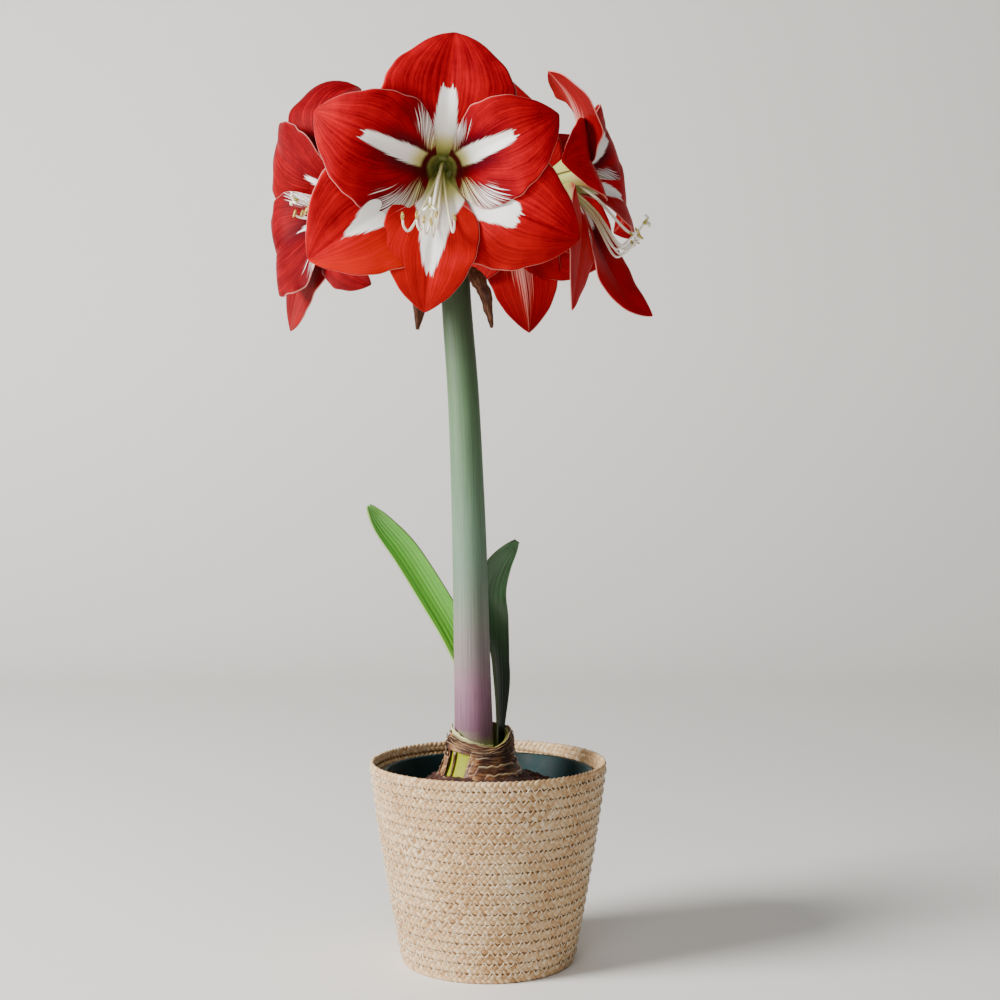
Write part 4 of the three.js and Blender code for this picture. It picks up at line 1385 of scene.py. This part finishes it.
# %% Soil
SOIL_GAP = POT_WALL + CLEARANCE
HOLE_MARGIN = 1.6
soil_foot = POT_FOOT + SOIL_GAP
soil_edge = pot_radius(SOIL_EDGE) - SOIL_GAP


def soil_level(r):
    return mix(SOIL_MOUND, SOIL_EDGE, min(1, r / soil_edge) ** 2.5)


def lump(spot):
    """Lumps about 2 mm high and 11 mm apart, with 1 mm ones 3 mm apart on them."""
    return noise.noise(spot * 0.09) * 2.2 + noise.noise(spot * 0.35) * 1.1


bulb_seat = [(r + HOLE_MARGIN, z) for r, z in BULB_PROFILE[1:8]]
soil_outline = [(0, BULB_PROFILE[0][1] - HOLE_MARGIN)] + bulb_seat
soil_outline += [(soil_edge * k, soil_level(soil_edge * k)) for k in (0.55, 0.68, 0.8, 0.92)]
soil_outline += [(soil_edge, SOIL_EDGE), (soil_edge - 2, SOIL_EDGE - 8)]
soil_outline += [(pot_radius(60) - SOIL_GAP, 60), (pot_radius(soil_foot) - SOIL_GAP, soil_foot)]
soil_outline += [(30, soil_foot), (0, soil_foot)]
soil_turned = turned(soil_outline)


def soil_place(u, w):
    spot = soil_turned(u, w)
    r = hypot(spot.x, spot.y)
    seat = 1 - smooth(u, 0.4, 0.54)
    spot.x += BULB_X * seat
    if spot.z > SOIL_EDGE - 4 and u > 0.4:
        spot.z += lump(spot) * (1 - smooth(r, soil_edge - 3, soil_edge))
    return spot


CRUMBS, CHUNKS = 900, 110  # the chunks of bark lie close to the bulb
crumbs = Random(5)
bm = new_bmesh()
for k in range(CRUMBS + CHUNKS):
    chunk = k >= CRUMBS
    r = mix(30, 42 if chunk else soil_edge - 2.5, sqrt(crumbs.random()))
    a = crumbs.uniform(0, 2 * pi)
    spot = Vector((r * cos(a), r * sin(a), soil_level(r)))
    spot.x += BULB_X * (1 - smooth(r, 30, 45))
    spot.z += lump(spot) - 0.2
    size = crumbs.uniform(1.6, 3) if chunk else crumbs.uniform(0.5, 1.7)
    crumb = bmesh.ops.create_icosphere(bm, subdivisions=1, radius=size)["verts"]
    squeeze = Matrix.Diagonal((crumbs.uniform(0.7, 1.6), 1, crumbs.uniform(0.5, 0.9), 1))
    turn = Matrix.Rotation(crumbs.uniform(0, pi), 4, "Z")
    bmesh.ops.transform(
        bm, matrix=Matrix.Translation(spot) @ turn @ squeeze, verts=crumb
    )
heap = new_bmesh()
bent_grid(heap, 120, 110, soil_place, closed=True)
pour(heap, bm)
finish_piece(bm, "peat_with_crumbs", [peat], ["potting_soil"])

# %% [markdown]
# ## The grower's pot
#
# A nursery pot is blown or moulded from recycled polypropylene: dark green, a little glossy, with
# scuffs of soil. It is turned from its profile, with a rolled lip that catches the light.

# %% Pot
pot_plastic, tree, shader = new_material(
    "green_polypropylene", IOR=1.49, Specular_IOR_Level=0.18
)
spot = add_node(tree, "TexCoord").outputs["Object"]
dust = add_node(tree, "TexNoise", {"Vector": spot, "Scale": 60, "Detail": 5}).outputs["Fac"]
ramp = add_node(tree, "ValToRGB", {"Fac": dust})
set_stops(ramp, [(0.4, "#0b2220"), (0.64, "#122f30"), (0.85, "#343b37")])
tree.links.new(ramp.outputs[0], shader.inputs["Base Color"])
gloss = add_node(
    tree, "MapRange",
    {"Value": dust, "From Min": 0.4, "From Max": 0.7, "To Min": 0.5, "To Max": 0.7},
).outputs[0]
tree.links.new(gloss, shader.inputs["Roughness"])
# moulding leaves rings about 4 mm apart
rings = add_node(
    tree, "TexWave", {"Vector": spot, "Scale": 80, "Distortion": 0.6},
    bands_direction="Z",
).outputs["Fac"]
ringed = add_node(tree, "Bump", {"Height": rings, "Strength": 0.08, "Distance": 0.2 * MM})
tree.links.new(ringed.outputs[0], shader.inputs["Normal"])

rim = POT_FOOT + POT_HEIGHT
lip = rim - LIP_HEIGHT
POT_OUTLINE = [
    (0.01, POT_FOOT), (POT_BASE - 1, POT_FOOT), (POT_BASE, POT_FOOT + 1),
    (pot_radius(lip), lip), (pot_radius(lip) + LIP_WIDTH, lip + 0.3),
    (pot_radius(rim) + LIP_WIDTH, rim - 0.6), (pot_radius(rim) + LIP_WIDTH / 2, rim),
    (pot_radius(rim) - POT_WALL, rim - 0.5),
    (pot_radius(POT_FOOT + POT_WALL) - POT_WALL, POT_FOOT + POT_WALL),
    (0.01, POT_FOOT + POT_WALL),
]


def turn_outline(bm, outline, steps):
    """Spins an outline of radius and height right round the Z axis, and closes it."""
    verts = [bm.verts.new((r, 0, z)) for r, z in outline]
    edges = [bm.edges.new(pair) for pair in zip(verts, verts[1:])]
    bmesh.ops.spin(
        bm, geom=verts + edges, cent=(0, 0, 0), axis=(0, 0, 1), angle=2 * pi, steps=steps,
        use_merge=True,
    )
    bmesh.ops.remove_doubles(bm, verts=bm.verts, dist=0.02)
    bmesh.ops.recalc_face_normals(bm, faces=bm.faces)


bm = new_bmesh()
turn_outline(bm, POT_OUTLINE, 144)
pot = finish_piece(bm, "green_plant_pot", [pot_plastic], ["grower_pot"])
rolled = pot.modifiers.new("rolled_edges", "BEVEL")
rolled.width = 0.3 * MM
rolled.segments = 3
rolled.limit_method = "ANGLE"
rolled.angle_limit = radians(25)

# %% [markdown]
# ## The basket
#
# The basket is one long plait of three split straws, wound into a disc for the floor and then up
# into a wall, and sewn turn to turn with a pale thread. So it is built as it is made: a route for
# the plait, three flat straws that weave over and under each other along it, and the stitches.
#
# In a flat plait each straw swings from side to side once per repeat and passes over and under
# twice in that time, a third of a repeat after its neighbour.

# %% Basket sizes
BASKET_HEIGHT, BASKET_ROWS = 144, 20
BASKET_BASE, BASKET_RIM, BASKET_BULGE = 62.4, 85.9, 1.2
ROW = BASKET_HEIGHT / BASKET_ROWS
PLAIT_REPEAT = 12  # length in which one straw swings over and back
PLAIT_SWING = 2.1  # half of how far it swings
PLAIT_DEPTH = 0.75  # half of how far it passes over and under
STRAW_HALF_WIDTH, STRAW_HALF_THICKNESS = 1.8, 0.8
PLAIT_HALF = 1.9  # half the thickness of the plait


def basket_radius(z):
    bulge = BASKET_BULGE * sin(pi * z / BASKET_HEIGHT)
    return mix(BASKET_BASE, BASKET_RIM, z / BASKET_HEIGHT) + bulge


print("one turn of the plait is", round(ROW, 2), "mm high")


# %% Finish of the straw
straw, tree, shader = new_material(
    "plaited_straw", Roughness=0.55, Specular_IOR_Level=0.35, Sheen_Weight=0.1
)
spot = add_node(tree, "TexCoord").outputs["Object"]
tone = add_node(tree, "Attribute", attribute_name="tone").outputs["Fac"]
# 14 fibres round a straw of 9 mm girth, so 0.6 mm apart: twice as coarse as real ones, to show
fibres = fibres_along(tree, 900, 14)
stains = add_node(
    tree, "TexNoise", {"Vector": spot, "Scale": 130, "Detail": 5, "Roughness": 0.7}
).outputs["Fac"]
share = add_node(
    tree, "Math", {0: fibres, 1: 0.35, 2: tone}, operation="MULTIPLY_ADD"
).outputs[0]
share = add_node(
    tree, "Math", {0: stains, 1: 0.45, 2: share}, operation="MULTIPLY_ADD"
).outputs[0]
ramp = add_node(tree, "ValToRGB", {"Fac": share})
set_stops(ramp, [
    (0.2, "#644022"), (0.34, "#9a7146"), (0.5, "#c29a6b"), (0.64, "#d7b68a"), (0.82, "#eddabb"),
])
tree.links.new(ramp.outputs[0], shader.inputs["Base Color"])
grooves = add_node(tree, "Bump", {"Height": fibres, "Strength": 0.5, "Distance": 0.35 * MM})
tree.links.new(grooves.outputs[0], shader.inputs["Normal"])

# %% Routes of the plait
STEPS_PER_REPEAT = 8
STEP = PLAIT_REPEAT / STEPS_PER_REPEAT
LEAD_IN = 0.32  # turns before the first whole one
TUCK = 1.4  # how far that stretch lies behind the others
CLIMB_FROM = 0.7  # share of a turn after which the plait climbs to the next row
UNEVEN = 0.45
FLOOR_INSET, FLOOR_EYE = 6, 3  # where the floor's plait starts, and the radius it ends at


def wall_route():
    """Place, outward direction and upward direction of the plait's middle, step by step."""
    route, turn = [], -LEAD_IN
    while turn < BASKET_ROWS:
        row = max(0, min(BASKET_ROWS - 1, int(turn)))
        climb = smooth(turn - row, CLIMB_FROM, 1) if row < BASKET_ROWS - 1 else 0
        a = 2 * pi * turn + pi / 2
        uneven = UNEVEN * noise.noise(Vector((2 * cos(a), 2 * sin(a), row * 0.6)))
        z = ROW * (row + 0.5 + climb) + uneven * sin(pi * turn / BASKET_ROWS)
        out = Vector((cos(a), sin(a), 0))
        slope = (basket_radius(z + 1) - basket_radius(z - 1)) / 2
        up = (out * slope + Vector((0, 0, 1))).normalized()
        # the plait's first stretch lies behind the turn that climbs over it
        r = basket_radius(z) - PLAIT_HALF - TUCK * smooth(-turn, 0, LEAD_IN)
        away = (out - Vector((0, 0, 1)) * slope).normalized()
        route.append((out * r + Vector((0, 0, z)), away, up))
        turn += STEP / (2 * pi * r)
    return route


def floor_route():
    route, r = [], basket_radius(0) - FLOOR_INSET
    a = 0.0
    while r > FLOOR_EYE:
        out = Vector((cos(a), sin(a), 0))
        route.append((out * r + Vector((0, 0, PLAIT_HALF)), Vector((0, 0, -1)), out))
        a += STEP / max(r, STEP)
        r -= ROW * STEP / max(r, STEP) / (2 * pi)
    return route


# %% [markdown]
# A straw is a tube with a flat oval section. Its grid has one row per step of the route, so its
# place is looked up from the row's number. Each straw changes its tone every few repeats, where one
# split leaf ends and the next begins.

# %% Straws
def add_straw(bm, route, number):
    steps = len(route) - 1
    tone_layer = bm.verts.layers.float["tone"]
    centres = []
    for k, (middle, away, up) in enumerate(route):
        swing = 2 * pi * (k / STEPS_PER_REPEAT + number / 3)
        loose = 0.22 * noise.noise(Vector((k * 0.11, number * 9, 0)))
        centres.append(
            middle + up * (PLAIT_SWING * sin(swing) + loose)
            + away * (PLAIT_DEPTH * sin(2 * swing) + loose)
        )

    def place(u, w):
        k = round(u * steps)
        run = (centres[min(k + 1, steps)] - centres[max(k - 1, 0)]).normalized()
        across = route[k][1].cross(run).normalized()
        away = run.cross(across)
        end = 0 if k in (0, steps) else 1
        turn = 2 * pi * w
        size = 1 + 0.16 * noise.noise(Vector((k * 0.21, number * 5, 3)))
        return (
            centres[k]
            + across * (end * size * STRAW_HALF_WIDTH * cos(turn))
            + away * (end * size * STRAW_HALF_THICKNESS * sin(turn))
        )

    made = bent_grid(bm, steps, 6, place, closed=True)
    for vert in made:
        leaf = 0.5 + 0.5 * noise.cell(vert.co * 0.045 + Vector((number * 7, 0, 0)))
        drift = 0.5 + noise.noise(vert.co * 0.03 + Vector((number * 31, 0, 0)))
        vert[tone_layer] = 0.12 * leaf + 0.22 * drift


for number in range(3):
    bm = new_bmesh("tone")
    add_straw(bm, wall_route(), number)
    finish_piece(bm, f"basket_wall_straw_{number + 1}", [straw], ["basket"])

bm = new_bmesh("tone")
for number in range(3):
    add_straw(bm, floor_route(), number)
finish_piece(bm, "basket_floor_plait", [straw])

# %% [markdown]
# Between the turns one could see through the wall. In the real basket the turns are pressed
# together, so a thin inner sheet of straw closes the gaps. It is painted darker than the straw, as
# shade, because no light reaches it. A disc does the same in the floor.

# %% Inner sheet
straw_in_painted_shade, tree, shader = new_material("straw_painted_shade", Roughness=0.9)
spot = add_node(tree, "TexCoord").outputs["Object"]
stains = add_node(tree, "TexNoise", {"Vector": spot, "Scale": 200, "Detail": 4}).outputs["Fac"]
ramp = add_node(tree, "ValToRGB", {"Fac": stains})
# painted shade: darker straw browns for the sheet inside the wall
set_stops(ramp, [(0.35, "#5b3c22"), (0.65, "#9a7548")])
tree.links.new(ramp.outputs[0], shader.inputs["Base Color"])
SHEET = 0.4  # half its thickness
sheet_line = [(0.01, 1.4), (basket_radius(0) - 5, 1.4)]
sheet_line += [
    (basket_radius(z) - PLAIT_HALF - SHEET, z)
    for z in (3, 24, 48, 72, 96, 120, BASKET_HEIGHT - 4)
]
sheet_line += [(r + 2 * SHEET * (z > 2), z + SHEET) for r, z in reversed(sheet_line)]
bm = new_bmesh()
turn_outline(bm, sheet_line, 96)
finish_piece(bm, "basket_inner_sheet", [straw_in_painted_shade])

# %% [markdown]
# The sewing thread crosses each gap between two turns in a zigzag, 7 mm from point to point. A
# stitch is a rod of three steps that bulges a little over the straw. Operators look at every vertex
# of their bmesh, so more than two thousand rods are built row by row in small ones, and poured
# together.

# %% Stitches
thread, tree, shader = new_material("sewing_thread", Roughness=0.4)
spot = add_node(tree, "TexCoord").outputs["Object"]
twist = add_node(tree, "TexNoise", {"Vector": spot, "Scale": 500, "Detail": 2}).outputs["Fac"]
ramp = add_node(tree, "ValToRGB", {"Fac": twist})
set_stops(ramp, [(0.35, "#cbb793"), (0.65, "#f6ecd6")])
tree.links.new(ramp.outputs[0], shader.inputs["Base Color"])

STITCH_SPACING = 3.5
STITCH_HEIGHT, STITCH_SLANT = 4.6, 3.2
STITCH_RADIUS, STITCH_DEPTH, STITCH_BULGE = 0.3, 0.5, 0.95
sewing = Random(3)
bm = new_bmesh()
for gap in range(1, BASKET_ROWS):
    row = new_bmesh()
    z = gap * ROW
    count = 2 * round(pi * basket_radius(z) / STITCH_SPACING)
    for k in range(count):
        a = 2 * pi * (k + sewing.uniform(-0.12, 0.12)) / count
        length = STITCH_HEIGHT * sewing.uniform(0.7, 1.1)
        slant = STITCH_SLANT * sewing.uniform(0.7, 1.2) / basket_radius(z) * (-1) ** k
        # every other stroke is pulled down between the straws
        sunk = 0.3 * (k % 2)

        def stitch(t):
            level = z + (t - 0.5) * length
            r = basket_radius(level) - STITCH_DEPTH - sunk + STITCH_BULGE * sin(pi * t)
            turn = a + (t - 0.5) * slant
            return Vector((r * cos(turn), r * sin(turn), level))

        add_rod(row, stitch, lambda t: STITCH_RADIUS, 4, 3, reference=(0, 0, 1))
    pour(row, bm)
finish_piece(bm, "basket_stitches", [thread])

# %% [markdown]
# ## Stage, light and camera
#
# The object stands on a pale floor that sweeps up behind it without an edge, as a paper roll does
# in a studio. One large soft light stands high on the left, a weaker one fills the right side, and
# a third comes from above and in front, so that the petals show their satin.

# %% Floor
paper, tree, shader = new_material(
    "studio_paper", Base_Color=linear("#f2efe9"), Roughness=0.9
)
bm = new_bmesh()
STAGE_WIDTH, STAGE_LENGTH, STAGE_FRONT = 9000, 8000, 4200
SWEEP_START, SWEEP_RADIUS = 1500, 600


def paper_roll(u, w):
    x = (w - 0.5) * STAGE_WIDTH
    run = u * STAGE_LENGTH - STAGE_FRONT
    if run < SWEEP_START:
        return Vector((x, run, 0))
    turn = min(pi / 2, (run - SWEEP_START) / SWEEP_RADIUS)
    rise = max(0, run - SWEEP_START - SWEEP_RADIUS * pi / 2)
    return Vector(
        (x, SWEEP_START + SWEEP_RADIUS * sin(turn), SWEEP_RADIUS * (1 - cos(turn)) + rise)
    )


bent_grid(bm, 90, 4, paper_roll)
bmesh.ops.recalc_face_normals(bm, faces=bm.faces)
bmesh.ops.transform(bm, matrix=Matrix.Scale(MM, 4), verts=bm.verts)
for face in bm.faces:
    face.smooth = True
mesh = bpy.data.meshes.new("floor")
bm.to_mesh(mesh)
bm.free()
mesh.materials.append(paper)
floor = bpy.data.objects.new("floor", mesh)
bpy.context.scene.collection.objects.link(floor)
print("floor:", len(mesh.polygons), "faces")

# %% Lights
world = bpy.data.worlds.new("studio")
world.use_nodes = True
background = world.node_tree.nodes["Background"]
background.inputs["Color"].default_value = linear("#eef1f5")
background.inputs["Strength"].default_value = 0.165
bpy.context.scene.world = world

AIM = Vector((0, 0, 0.38))
LIGHTS = {
    # place in metres, width in metres, power in watts
    "window_left": ((-2.2, -1.0, 1.3), 1.2, 178),
    "fill_right": ((1.8, -1.4, 0.9), 1.6, 1),
    "front_top": ((-0.3, -1.8, 1.8), 1.2, 12),
}
for name, (spot, width, power) in LIGHTS.items():
    lamp = bpy.data.lights.new(name, "AREA")
    lamp.shape = "DISK"
    lamp.size = width
    lamp.energy = power
    light = bpy.data.objects.new(name, lamp)
    light.location = spot
    light.rotation_euler = (Vector(spot) - AIM).to_track_quat("Z", "Y").to_euler()
    bpy.context.scene.collection.objects.link(light)
print("lights:", len(LIGHTS))

# %% [markdown]
# The camera stands 1.15 m in front of the basket's middle, a little higher than the leaves, and
# looks very slightly down. A 58 mm lens takes in the whole plant with little perspective.

# %% Camera
CAMERA_PLACE = (8.6, -1152, 355)  # millimetres
CAMERA_PITCH = 1.18  # degrees below the horizontal
camera_data = bpy.data.cameras.new("camera")
camera_data.sensor_width = 36
camera_data.lens = 57.6
camera = bpy.data.objects.new("camera", camera_data)
camera.location = Vector(CAMERA_PLACE) * MM
camera.rotation_euler = (radians(90 - CAMERA_PITCH), 0, 0)
bpy.context.scene.collection.objects.link(camera)
bpy.context.scene.camera = camera
print("camera at", CAMERA_PLACE, "mm")
